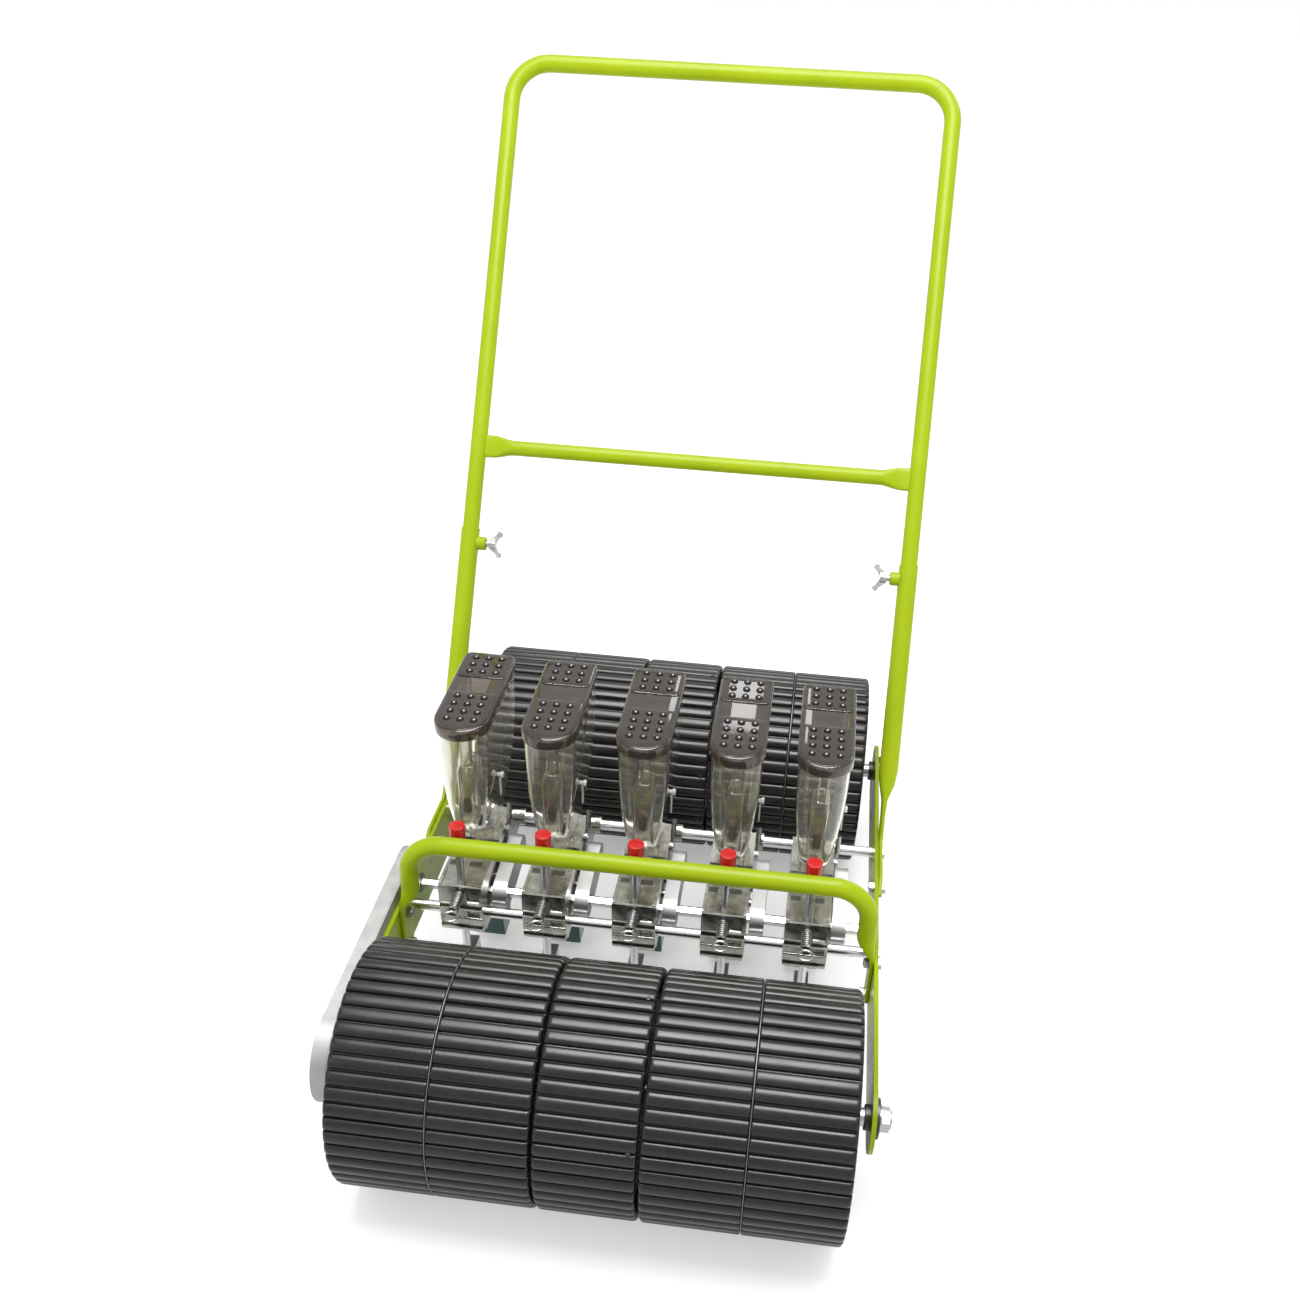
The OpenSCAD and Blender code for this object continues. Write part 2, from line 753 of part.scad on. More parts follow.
// Roller centres of a chain round two equal sprockets, in running order
function chain_points(c, tilt, pitch, teeth, span) = let (
    r = pitch_r(pitch, teeth), step = 360 / teeth, half = teeth / 2,
    far = on_line(c, span * pitch, tilt)) concat(
        [for (k = [0:half]) round_point(c, r, tilt + 90 + k * step)],
        [for (k = [1:span - 1]) on_line(round_point(c, r, tilt - 90), k * pitch, tilt)],
        [for (k = [0:half]) round_point(far, r, tilt - 90 + k * step)],
        [for (k = [span - 1:-1:1]) on_line(round_point(c, r, tilt + 90), k * pitch, tilt)]);

// A sprocket: each tooth is the lens between two roller seats, as on a real chain wheel
module sprocket_2d(pitch, teeth, roller_r, bore_r, tilt) {
    r = pitch_r(pitch, teeth);
    step = 360 / teeth;
    reach = pitch - roller_r - 0.25;
    difference() {
        union() {
            circle(r - roller_r * 0.3, $fn = 96);
            for (k = [0:teeth - 1]) intersection() {
                translate(round_point([0, 0], r, tilt + 90 + k * step)) circle(reach, $fn = 64);
                translate(round_point([0, 0], r, tilt + 90 + (k + 1) * step)) circle(reach, $fn = 64);
                circle(r + roller_r * 0.85, $fn = 96);
            }
        }
        for (k = [0:teeth - 1]) translate(round_point([0, 0], r, tilt + 90 + k * step))
            circle(roller_r + 0.12, $fn = 48);
        circle(bore_r, $fn = 48);
    }
}

module link_plate(p, q) {
    d = q - p;
    translate(p) rotate(atan2(d[1], d[0])) union() {
        circle(chain_plate_r, $fn = 32);
        translate([norm(d), 0]) circle(chain_plate_r, $fn = 32);
        translate([0, -chain_waist / 2]) square([norm(d), chain_waist]);
    }
}

module drive_chain() {
    pts = chain_points([0, axle_z], main_tilt, chain_pitch, drive_teeth, drive_span);
    n = len(pts);
    place() color("#8d9096") for (k = [0:n - 1]) {
        p = pts[k];
        q = pts[(k + 1) % n];
        inner = chain_inner_half + (k % 2 == 0 ? 0 : chain_plate_t + 0.1);
        translate([-chain_plane, 0, 0]) {
            for (x = [-inner - chain_plate_t, inner]) side_profile(x, x + chain_plate_t) link_plate(p, q);
            x_rod(-chain_inner_half, chain_inner_half, p[0], p[1], chain_roller_r, 32);
            x_rod(-chain_half_w, chain_half_w, p[0], p[1], chain_roller_r / 2, 32);
        }
    }
}

module drive_sprocket() {
    place() color("#6d7076") translate([0, 0, axle_z]) union() {
        side_profile(-chain_plane - sprocket_t / 2, -chain_plane + sprocket_t / 2)
            sprocket_2d(chain_pitch, drive_teeth, chain_roller_r, axle_d / 2 + fit, main_tilt);
        side_profile(-chain_plane + sprocket_t / 2, -chain_plane + sprocket_t / 2 + 3) difference() {
            circle(axle_d / 2 + 5, $fn = 48);
            circle(axle_d / 2 + fit, $fn = 48);
        }
    }
}

module shaft_sprocket() {
    place() color("#6d7076") translate([0, shaft_y, shaft_z]) union() {
        side_profile(-chain_plane - sprocket_t / 2, -chain_plane + sprocket_t / 2)
            sprocket_2d(chain_pitch, drive_teeth, chain_roller_r, shaft_end_r + fit, main_tilt);
        side_profile(-chain_plane + sprocket_t / 2, -chain_plane + sprocket_t / 2 + 3) difference() {
            circle(shaft_end_r + 5, $fn = 48);
            circle(shaft_end_r + fit, $fn = 48);
        }
    }
}

// Drive shaft: a hexagon between the plates, turned round where it runs in bearings
module drive_shaft() {
    place() color("silver") {
        x_hex(-(plate_in - 4), plate_in - 4, shaft_y, shaft_z, hex_af);
        x_rod(-(chain_plane + sprocket_t / 2 + 2), plate_out, shaft_y, shaft_z, shaft_end_r);
    }
}

// Chain case outline: two arcs, drawn in short steps, and the two outer tangents
case_len = norm([shaft_y, shaft_rise]);
case_screw_r = 2.5;
case_arc_steps = 30;
case_screws = [[shaft_y * 0.5, axle_z + shaft_rise * 0.5]];

module case_outline(shrink) {
    rf = case_front_r - shrink;
    rr = case_rear_r - shrink;
    a = 90 - asin((rf - rr) / case_len);
    n = case_arc_steps;
    translate([0, axle_z]) rotate(main_tilt) polygon(concat(
        [for (i = [0:n]) round_point([0, 0], rf, a + (360 - 2 * a) * i / n)],
        [for (i = [0:n]) round_point([case_len, 0], rr, -a + 2 * a * i / n)]));
}

module chain_case() {
    place() color("#c4c6c8") union() {
        side_profile(-(plate_out + case_sheet), -plate_out) difference() {
            case_outline(0);
            translate([0, axle_z]) circle(flange_d / 2 + 1, $fn = 64);
            translate([shaft_y, shaft_z]) circle(shaft_bush_r, $fn = 48);
            for (z = carry_bolts) translate([carry_y, z]) circle(bolt_af / 2 / cos(30) + 1, $fn = 32);
            translate([clamp_bar_y, clamp_bar_z]) circle(bolt_af / 2 / cos(30) + 1, $fn = 32);
        }
        for (p = case_screws) difference() {
            x_rod(-(plate_out + case_depth - case_sheet), -(plate_out + case_sheet), p[0], p[1], 6);
            x_rod(-(plate_out + case_depth), -(plate_out + case_sheet + 1), p[0], p[1],
                case_screw_r + fit, 32);
        }
    }
}

module chain_case_cover() {
    place() color("#c4c6c8") difference() {
        side_profile(-(plate_out + case_depth), -(plate_out + case_sheet)) case_outline(0);
        side_profile(-(plate_out + case_depth - case_sheet), -(plate_out + case_sheet) + 1)
            case_outline(case_sheet);
        for (p = case_screws) x_rod(-(plate_out + case_depth + 1), -(plate_out + case_sheet), p[0], p[1],
            case_screw_r + fit, 32);
    }
}

// Seeding units

module for_units() {
    for (k = units) translate([unit_x(k), 0, 0]) children();
}

module gear_outline(shrink) {
    side_slot(shaft_y, shaft_z, seed_y, seed_z, gear_case_r - shrink);
}

shaft_hole_r = hex_r + 1;

module gear_cases() {
    place() color("#d4d6d8") for_units() difference() {
        side_profile(gear_in, gear_out) gear_outline(0);
        side_profile(gear_in + gear_wall, gear_out - gear_wall) gear_outline(gear_wall);
        x_rod(gear_in - 1, gear_out + 1, shaft_y, shaft_z, shaft_hole_r);
        x_rod(gear_in - 1, gear_in + gear_wall + 1, seed_y, seed_z, seed_shaft_d / 2 + fit);
    }
}

small_roller_r = 1.65;
band_half_h = 2.7;
band_t = 0.8;
small_inner_half = 1.5;
small_sprocket_t = 2.4;

module unit_chains() {
    pts = chain_points([shaft_y, shaft_z], small_tilt, small_pitch, small_teeth, small_span);
    r = pitch_r(small_pitch, small_teeth);
    place() color("#8d9096") for_units() translate([gear_mid, 0, 0]) {
        for (x = [-small_inner_half - band_t, small_inner_half]) side_profile(x, x + band_t) difference() {
            side_slot(shaft_y, shaft_z, seed_y, seed_z, r + band_half_h);
            side_slot(shaft_y, shaft_z, seed_y, seed_z, r - band_half_h);
        }
        for (p = pts) x_rod(-small_inner_half - tiny, small_inner_half + tiny, p[0], p[1],
            small_roller_r, 16);
    }
}

module small_sprocket(bore_r) {
    side_profile(-small_sprocket_t / 2, small_sprocket_t / 2)
        sprocket_2d(small_pitch, small_teeth, small_roller_r, bore_r, small_tilt);
}

module unit_sprockets() {
    place() color("#6d7076") for_units() translate([gear_mid, shaft_y, shaft_z]) difference() {
        small_sprocket(hex_af / 4);
        x_hex(-small_sprocket_t, small_sprocket_t, 0, 0, hex_af + 2 * fit);
    }
}

// Body of a unit: clamp block in front, two cheeks, metering housing, rear clamp
housing_half = 34;
housing_front = seed_y - housing_half;
housing_back = seed_y + housing_half;
housing_low = 116;
cheek_top = 192;
cheek_low = 128;
roller_room = 1.2;
bar_nose = 12;
top_plate_l = 24;
top_plate_t = 6;
gear_stub_r = 5;
body_skin = 1;

block_edge = 1.5;
nose_run = 13;
nose_rise = 19;
pocket_depth = 4;

module block_profile() {
    polygon([[block_front + nose_run, block_low], [block_back, block_low], [block_back, block_top],
             [block_front + block_edge, block_top], [block_front, block_top - block_edge],
             [block_front, block_low + nose_rise]]);
}

module cheek_profile() {
    union() {
        polygon([[block_back - 1, cheek_low], [housing_front, cheek_low],
                 [housing_front + 6, housing_low], [housing_back - 6, housing_low],
                 [housing_back, cheek_low], [rear_bar_y, rear_bar_z - bar_nose],
                 [rear_bar_y, rear_bar_z + bar_nose], [housing_back, cheek_top],
                 [housing_back, hopper_seat], [housing_front, hopper_seat],
                 [housing_front, cheek_top], [block_back - 1, block_top]]);
        translate([rear_bar_y, rear_bar_z]) circle(bar_nose, $fn = 48);
    }
}

module unit_body() {
    difference() {
        union() {
            side_profile(-body_half, body_half) block_profile();
            for (x = [-body_half, cheek_in]) side_profile(x, x + cheek_t) cheek_profile();
            translate([-body_half + body_skin, block_back - 1, block_top - top_plate_t])
                cube([body_w - 2 * body_skin, top_plate_l, top_plate_t]);
            translate([-top_plate_t / 2, block_back - 1, block_top - top_plate_t])
                cube([top_plate_t, housing_front - block_back + 2, top_plate_t]);
            translate([-body_half + body_skin, housing_front, housing_low])
                cube([body_w - 2 * body_skin, 2 * housing_half, hopper_seat - housing_low]);
            for (y = [shaft_y + 26, seed_y - 22])
                x_rod(body_half - 1, gear_in, y, seed_z - 6, gear_stub_r);
            x_rod(body_half - 1, gear_in + 6, rear_bar_y, rear_bar_z, bar_nose);
            x_rod(body_half - 1, body_half + clear + lever_hub_t + 1, seed_y, lever_z, lever_pin_r, 32);
        }
        x_rod(-body_half - 1, gear_in + 8, rear_bar_y, rear_bar_z, bar_d / 2 + fit);
        x_rod(-body_half - 1, body_half + 1, clamp_bar_y, clamp_bar_z, bar_d / 2 + fit);
        x_rod(-body_half - 1, body_half + 1, shaft_y, shaft_z, shaft_hole_r);
        translate([0, rod_y, block_low - 1])
            cylinder(h = block_top - block_low + 2, r = rod_d / 2 + fit, $fn = 48);
        translate([0, rod_y, screw_z]) rotate([90, 0, 0])
            cylinder(h = rod_y - block_front + 1, r = screw_d / 2 + fit, $fn = 32);
        x_rod(-seed_roller_w / 2 - roller_room, seed_roller_w / 2 + roller_room, seed_y, seed_z,
            seed_roller_d / 2 + roller_room, 64);
        x_rod(-body_half - 1, body_half + 1, seed_y, seed_z, seed_shaft_d / 2 + fit);
        translate([rod_d / 2 + 3, block_front - 1, block_low + nose_rise + 8])
            cube([body_half - rod_d / 2 - 7, pocket_depth + 1, block_top - block_low - nose_rise - 20]);
        translate([-seed_slot_w / 2, seed_y - seed_slot_l / 2, seed_z])
            cube([seed_slot_w, seed_slot_l, hopper_seat - seed_z + 1]);
        translate([-seed_slot_w / 2, seed_y - seed_slot_l / 2, housing_low - 1])
            cube([seed_slot_w, seed_slot_l, seed_z - housing_low]);
    }
}

seed_slot_w = 18;
seed_slot_l = 26;

module unit_frames() {
    place() color("#b9bcbf") for_units() unit_body();
}

// Seed roller, its shaft and its small sprocket turn as one piece
module seed_roller(k) {
    place() color("#2c2c30") translate([unit_x(k), seed_y, seed_z]) union() {
        difference() {
            x_rod(-seed_roller_w / 2, seed_roller_w / 2, 0, 0, seed_roller_d / 2, 64);
            for (i = [0:seed_pockets - 1], x = [-seed_roller_w / 4, seed_roller_w / 4])
                rotate([i * 360 / seed_pockets, 0, 0]) translate([x, 0, seed_roller_d / 2])
                    sphere(2.5, $fn = 24);
        }
        x_rod(-body_half, gear_mid + small_sprocket_t, 0, 0, seed_shaft_d / 2);
        translate([gear_mid, 0, 0]) small_sprocket(seed_shaft_d / 4);
    }
}

// Seed boot: an open funnel that leads the seed from the housing down to the furrow
boot_w = 44;
boot_wall = 2;
boot_low = 14;

module boot_profile(d) {
    polygon([[housing_front + 6 + d, housing_low + (d > 0 ? 1 : 0)], [housing_front + 8 + d, 70],
             [seed_y - 16 + d, boot_low - (d > 0 ? 1 : 0)], [seed_y + 16 - d, boot_low - (d > 0 ? 1 : 0)],
             [housing_back - 8 - d, 70], [housing_back - 6 - d, housing_low + (d > 0 ? 1 : 0)]]);
}

module seed_boots() {
    place() color("#1f4a3f") for_units() difference() {
        side_profile(-boot_w / 2, boot_w / 2) boot_profile(0);
        side_profile(-boot_w / 2 + boot_wall, boot_w / 2 - boot_wall) boot_profile(boot_wall);
    }
}

// Hopper: plan views from the rim down to the outlet, each a front arc and two back corners
module plan(y0, y1, w, corner, z, h = tiny) {
    translate([0, 0, z]) linear_extrude(h) union() {
        translate([0, y0 + w / 2]) circle(w / 2, $fn = 48);
        translate([-w / 2, y0 + w / 2]) square([w, y1 - y0 - w / 2 - corner]);
        translate([-w / 2 + corner, y1 - 2 * corner]) square([w - 2 * corner, 2 * corner]);
        for (s = [-1, 1]) translate([s * (w / 2 - corner), y1 - corner]) circle(corner, $fn = 32);
    }
}

hopper_back = hopper_front + hopper_l;
shoulder_z = hopper_top - 60;
tip_z = hopper_seat + 54;
tip_back = 6;
tip_w = 38;
outlet_l = 46;
outlet_w = 30;

module hopper_form(inset, top, low) {
    c = hopper_corner;
    hull() {
        plan(hopper_front + inset, hopper_back - inset, hopper_w - 2 * inset, c - inset / 2, top - tiny);
        plan(hopper_front + 1 + inset, hopper_back - 2 - inset, hopper_w - 2 - 2 * inset,
            c - inset / 2, shoulder_z);
        plan(hopper_front + tip_back + inset, hopper_back - 32 - inset, tip_w - 2 * inset,
            c - inset / 2, tip_z);
        plan(seed_y - outlet_l / 2 + inset, seed_y + outlet_l / 2 - inset, outlet_w - 2 * inset,
            c - inset / 2 - 4, low);
    }
}

lid_pin_y = hopper_back + lid_gap + lid_wall + lid_pin_d / 2 + 2.5;
lid_pin_z = hopper_top - lid_skirt;
ear_r = lid_pin_d / 2 + 1;
knuckle_r = lid_pin_d / 2 + 1.6;

module hopper(k) {
    place() color("#dfe3df", 0.45) translate([unit_x(k), 0, 0]) {
        difference() {
            hopper_form(0, hopper_top, hopper_seat);
            hopper_form(hopper_wall, hopper_top + 1, hopper_seat + hopper_wall);
            translate([-seed_slot_w / 2, seed_y - seed_slot_l / 2, hopper_seat - 1])
                cube([seed_slot_w, seed_slot_l, hopper_wall + 4]);
        }
        for (s = [-1, 1]) side_profile(s * 11 - 1.5, s * 11 + 1.5)
            side_slot(hopper_back - 1, lid_pin_z - 14, lid_pin_y, lid_pin_z, ear_r);
        x_rod(-11, 11, lid_pin_y, lid_pin_z, lid_pin_d / 2, 32);
    }
}

// Lid: a cap with a skirt, rows of low round bumps front and back, hinged at the back
lid_w = hopper_w + 2 * (lid_gap + lid_wall);
lid_front = hopper_front - lid_gap - lid_wall;
lid_back = hopper_back + lid_gap + lid_wall;
bump_step = lid_w / 4;
bump_sunk = 2;

module lid(k) {
    place() color("#3a3536", 0.8) translate([unit_x(k), 0, 0]) {
        difference() {
            union() {
                plan(lid_front, lid_back, lid_w, hopper_corner + lid_gap + lid_wall,
                    hopper_top - lid_skirt, lid_skirt + clear + lid_t);
                translate([0, 0, hopper_top + clear + lid_t - bump_sunk]) {
                    for (i = [0:3], j = [-1:1]) translate([j * bump_step, lid_front + 24 + i * bump_step, 0])
                        sphere(bump_r + bump_sunk / 2, $fn = 24);
                    for (i = [0:2], j = [-1:1]) translate([j * bump_step, lid_back - 14 - i * bump_step, 0])
                        sphere(bump_r + bump_sunk / 2, $fn = 24);
                }
            }
            plan(hopper_front - lid_gap, hopper_back + lid_gap, hopper_w + 2 * lid_gap,
                hopper_corner + lid_gap, hopper_top - lid_skirt - 1, lid_skirt + 1 + clear);
            translate([-8, lid_front - 1, hopper_top - lid_skirt - 1]) cube([16, 6, 5]);
        }
        difference() {
            union() {
                x_rod(-9, 9, lid_pin_y, lid_pin_z, knuckle_r, 32);
                translate([-9, lid_back - 1, lid_pin_z])
                    cube([18, lid_pin_y - lid_back + 1, knuckle_r - 0.4]);
            }
            x_rod(-10, 10, lid_pin_y, lid_pin_z, lid_pin_d / 2 + fit, 32);
        }
    }
}

// Seed lever on the right cheek
lever_z = seed_z + lever_rise;
lever_hub_t = 4;
lever_pin_r = 2.5;

module lever(k) {
    place() color("#c8ccd0") translate([unit_x(k) + body_half + clear, seed_y, lever_z]) difference() {
        union() {
            x_rod(0, lever_hub_t, 0, 0, 6.5, 32);
            lever_arm();
        }
        x_rod(-1, lever_hub_t + 1, 0, 0, lever_pin_r + fit, 32);
    }
}

module lever_arm() {
    knob_l = 22;
    rotate([-lever_lean, 0, 0]) {
        translate([2, 0, 0]) cylinder(h = lever_l - knob_l + 2, r = 1.6, $fn = 32);
        translate([lever_d / 2 - 0.3, 0, lever_l - knob_l]) cylinder(h = knob_l, r = lever_d / 2, $fn = 32);
    }
}

// Depth rod with its red cap, and the furrow opener at its foot
module opener(k) {
    place() color("#a8abae") translate([unit_x(k), rod_y, 0]) union() {
        translate([0, 0, opener_low + 6])
            cylinder(h = cap_top - opener_low - 12, r = rod_d / 2, $fn = 48);
        color("#d42a2a") translate([0, 0, cap_top - cap_h])
            cylinder(h = cap_h, r = cap_d / 2, $fn = 48);
        intersection() {
            side_profile(-opener_w, opener_w) translate([0, opener_low]) polygon([
                [-opener_l * 0.4, opener_h], [opener_l * 0.5, opener_h], [opener_l * 0.6, 14],
                [opener_l * 0.45, 0], [0, 0], [-opener_l * 0.28, 10]]);
            translate([0, 0, opener_low - 1]) linear_extrude(opener_h + 2) polygon([
                [0, -opener_l * 0.42], [opener_w / 2, opener_l * 0.1], [opener_w / 2, opener_l * 0.6],
                [-opener_w / 2, opener_l * 0.6], [-opener_w / 2, opener_l * 0.1]]);
        }
    }
}

// Clamp screw with its collar and ring
ring_wire = 3;
collar_t = 3;
collar_y = block_front - spring_l - clear;

module clamp_screw(k) {
    place() color("#d2d5d8") translate([unit_x(k), 0, screw_z]) union() {
        translate([0, rod_y - rod_d / 2 - clear, 0]) rotate([90, 0, 0])
            cylinder(h = rod_y - rod_d / 2 - clear - collar_y + collar_t, r = screw_d / 2, $fn = 32);
        translate([0, collar_y, 0]) rotate([90, 0, 0]) cylinder(h = collar_t, r = spring_d / 2, $fn = 32);
        translate([0, collar_y - collar_t - ring_d / 2 + ring_wire / 2, 0])
            rotate_extrude($fn = 64) translate([ring_d / 2 - ring_wire / 2, 0])
                circle(ring_wire / 2, $fn = 24);
    }
}

// Anti-rattle spring: a wire of six sides swept along a helix with flat end coils
spring_sides = 6;
spring_rings = 8;
spring_axis_r = (spring_d - spring_wire) / 2;
spring_rise = spring_l - 2 * clear - spring_wire;

function helix_point(u) = let (a = 360 * spring_coils * u, end = 1 / spring_coils,
    lift = u < end ? u * u / (2 * end)
        : u > 1 - end ? 1 - end - (1 - u) * (1 - u) / (2 * end)
        : u - end / 2)
    [spring_axis_r * cos(a), spring_axis_r * sin(a), spring_rise * lift / (1 - end)];

function helix_ring(u, s) = let (a = 360 * spring_coils * u, b = 360 * s / spring_sides, p = helix_point(u))
    p + spring_wire / 2 * [cos(b) * cos(a), cos(b) * sin(a), sin(b)];

module coil_spring() {
    n = spring_coils * spring_rings;
    m = spring_sides;
    pts = [for (i = [0:n]) for (s = [0:m - 1]) helix_ring(i / n, s)];
    sides = [for (i = [0:n - 1]) for (s = [0:m - 1]) let (a = i * m + s, b = i * m + (s + 1) % m)
        each [[a, a + m, b], [b, a + m, b + m]]];
    caps = [for (s = [1:m - 2]) each [[0, s, s + 1], [n * m, n * m + s + 1, n * m + s]]];
    polyhedron(points = pts, faces = concat(sides, caps));
}

// Least distance between points of neighbouring coils, less the wire
spring_gap = min([for (i = [0:spring_coils * spring_rings - spring_rings])
    norm(helix_point(i / (spring_coils * spring_rings)) -
        helix_point((i + spring_rings) / (spring_coils * spring_rings))) - spring_wire]);
echo(spring_gap = spring_gap);

module clamp_springs() {
    place() color("#c0c3c6") for_units() translate([0, block_front - clear - spring_wire / 2, screw_z])
        rotate([90, 0, 0]) coil_spring();
}

side_plate_left();
side_plate_right();
clamp_bar();
rear_bar();
front_carry_bar();
handle_leg_left();
handle_leg_right();
handle_loop();
wing_bolt_left();
wing_bolt_right();
frame_fasteners();
axle_bearings();
front_axle();
front_drums();
front_drum_discs();
drive_sprocket();
rear_axle();
rear_drums();
rear_drum_discs();
drive_shaft();
shaft_sprocket();
drive_chain();
chain_case();
chain_case_cover();
gear_cases();
unit_chains();
unit_frames();
seed_boots();
clamp_springs();
unit_sprockets();
for (k = units) {
    hopper(k);
    lid(k);
    seed_roller(k);
    lever(k);
    opener(k);
    clamp_screw(k);
}
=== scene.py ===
# %% [markdown]
# # A walk-behind seed planter
# Five seeding units stand between two ribbed rollers, and a tall tube handle pushes them.
# The CAD model holds every piece at its real size. This lesson keeps the CAD pieces whose
# shape is right, makes smoother ones where a mould or a bent tube has soft forms, and gives
# each finish its own procedural material.

# %% Load the frame
import json
import math
import bmesh
import bpy
import numpy as np
from mathutils import Matrix, Vector

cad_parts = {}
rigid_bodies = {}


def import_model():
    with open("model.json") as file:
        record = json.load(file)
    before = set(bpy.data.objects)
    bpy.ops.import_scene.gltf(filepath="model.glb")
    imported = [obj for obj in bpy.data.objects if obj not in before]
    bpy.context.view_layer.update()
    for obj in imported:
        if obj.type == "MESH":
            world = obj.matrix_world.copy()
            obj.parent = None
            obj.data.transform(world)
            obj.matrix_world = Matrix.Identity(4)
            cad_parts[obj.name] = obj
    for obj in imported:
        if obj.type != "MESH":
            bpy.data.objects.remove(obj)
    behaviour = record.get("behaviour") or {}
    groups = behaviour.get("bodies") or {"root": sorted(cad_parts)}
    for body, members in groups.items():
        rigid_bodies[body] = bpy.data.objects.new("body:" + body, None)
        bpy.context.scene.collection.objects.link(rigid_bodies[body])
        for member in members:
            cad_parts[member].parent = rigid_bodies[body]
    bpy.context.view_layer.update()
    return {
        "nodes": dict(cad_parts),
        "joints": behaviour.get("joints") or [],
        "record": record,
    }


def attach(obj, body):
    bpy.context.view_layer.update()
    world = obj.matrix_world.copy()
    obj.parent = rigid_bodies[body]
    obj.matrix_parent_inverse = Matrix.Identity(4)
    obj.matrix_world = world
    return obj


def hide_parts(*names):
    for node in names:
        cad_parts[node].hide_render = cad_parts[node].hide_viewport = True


for leftover in list(bpy.data.objects):
    bpy.data.objects.remove(leftover)
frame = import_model()
node_object = frame["nodes"]
joint_at = {j["name"]: np.array(j.get("pos_m", (0, 0, 0))) for j in frame["joints"]}
UNITS = (1, 2, 3, 4, 5)
unit_x = {k: joint_at[f"seed_roller_{k}_spin"][0] for k in UNITS}

# %% [markdown]
# ## The camera
# The photograph was taken from in front of the planter, a little above it and to the right,
# and the planter leans in the frame. A fitted camera gives a place and three directions. The
# optical axis isn't in the middle of the picture, so the lens is shifted by that much.

# %% Camera
PHOTO_PX = 1300
FOCAL_PX = 1301.3
AXIS_PX = (683.8, 751.9)
look = np.array((-0.0816, 0.8132, -0.5762))
right = np.array((0.9919, 0.1227, 0.0327))
look /= np.linalg.norm(look)
right -= look * (right @ look)
right /= np.linalg.norm(right)
up = np.cross(right, look)
# The fitted camera counts from the front axle's middle, with z from the ground
axle_place = joint_at["front_roller_spin"]
camera_place = np.array((0.1657, -0.9357, 1.2513)) + (axle_place[0], axle_place[1], 0)

lens = bpy.data.cameras.new("camera")
lens.sensor_fit = "HORIZONTAL"
lens.sensor_width = 36.0
lens.lens = FOCAL_PX / PHOTO_PX * lens.sensor_width
lens.shift_x = -(AXIS_PX[0] - PHOTO_PX / 2) / PHOTO_PX
lens.shift_y = (AXIS_PX[1] - PHOTO_PX / 2) / PHOTO_PX
camera = bpy.data.objects.new("camera", lens)
turn = Matrix(np.column_stack((right, up, -look)).tolist()).to_4x4()
camera.matrix_world = Matrix.Translation(camera_place.tolist()) @ turn
bpy.context.scene.collection.objects.link(camera)
bpy.context.scene.camera = camera
print("camera at", np.round(camera_place, 3).tolist(), "lens", round(lens.lens, 2), "mm")

# %% [markdown]
# ## Nodes by name
# Materials are wired by a helper: a value that is another node's output is linked, and any
# other value is set on the socket.

# %% Node helpers
def add(tree, kind, inputs=None, **settings):
    """Adds a node of that kind, sets its settings, and links or sets its inputs."""
    made = tree.nodes.new(kind)
    for key, value in settings.items():
        setattr(made, key, value)
    for key, value in (inputs or {}).items():
        if isinstance(value, bpy.types.NodeSocket):
            tree.links.new(value, made.inputs[key])
        else:
            made.inputs[key].default_value = value
    return made

def start_material(name):
    """A new material with its node tree and its Principled shader."""
    mat = bpy.data.materials.new(name)
    mat.use_nodes = True
    return mat, mat.node_tree, mat.node_tree.nodes["Principled BSDF"]

def seen_rays(tree):
    """1 for rays that show a backdrop (camera, clear plastic, reflections), 0 for those that light."""
    rays = add(tree, "ShaderNodeLightPath")
    clear = add(tree, "ShaderNodeMath", {0: rays.outputs["Is Camera Ray"],
                                         1: rays.outputs["Is Transmission Ray"]}, operation="MAXIMUM")
    return add(tree, "ShaderNodeMath", {0: clear.outputs[0], 1: rays.outputs["Is Glossy Ray"]},
               operation="MAXIMUM").outputs[0]

# %% [markdown]
# ## Floor and light
# A plain pale floor catches the shadow; it glows a little for rays that show it, so it fades
# into the white world without more light on the planter. Black ribbed plastic shows little but
# reflections, so one wide panel overhead is seen in gloss only and draws a streak along each
# rib. A small lamp behind is mirrored by the lids. Standard view keeps colours as written.

# %% Floor
HALF_FLOOR = 12.0
floor_mesh = bpy.data.meshes.new("floor")
corners = [(x * HALF_FLOOR, y * HALF_FLOOR, -0.0005) for x, y in ((-1, -1), (1, -1), (1, 1), (-1, 1))]
floor_mesh.from_pydata(corners, [], [(0, 1, 2, 3)])
floor = bpy.data.objects.new("floor", floor_mesh)
bpy.context.scene.collection.objects.link(floor)
floor_mat, tree, shader = start_material("pale_floor")
for socket, value in (("Roughness", 0.8), ("Specular IOR Level", 0.1), ("Emission Strength", 0.36)):
    shader.inputs[socket].default_value = value
soft_tone = add(tree, "ShaderNodeTexNoise", {"Scale": 0.7, "Detail": 2.0})
ramp = add(tree, "ShaderNodeMapRange", {"Value": soft_tone.outputs["Fac"], "To Min": 0.93, "To Max": 0.95})
tone = add(tree, "ShaderNodeCombineColor", {c: ramp.outputs[0] for c in ("Red", "Green", "Blue")})
tree.links.new(tone.outputs[0], shader.inputs["Base Color"])
seen = seen_rays(tree)
glow = add(tree, "ShaderNodeCombineColor", {c: seen for c in ("Red", "Green", "Blue")})
tree.links.new(glow.outputs[0], shader.inputs["Emission Color"])
floor_mesh.materials.append(floor_mat)

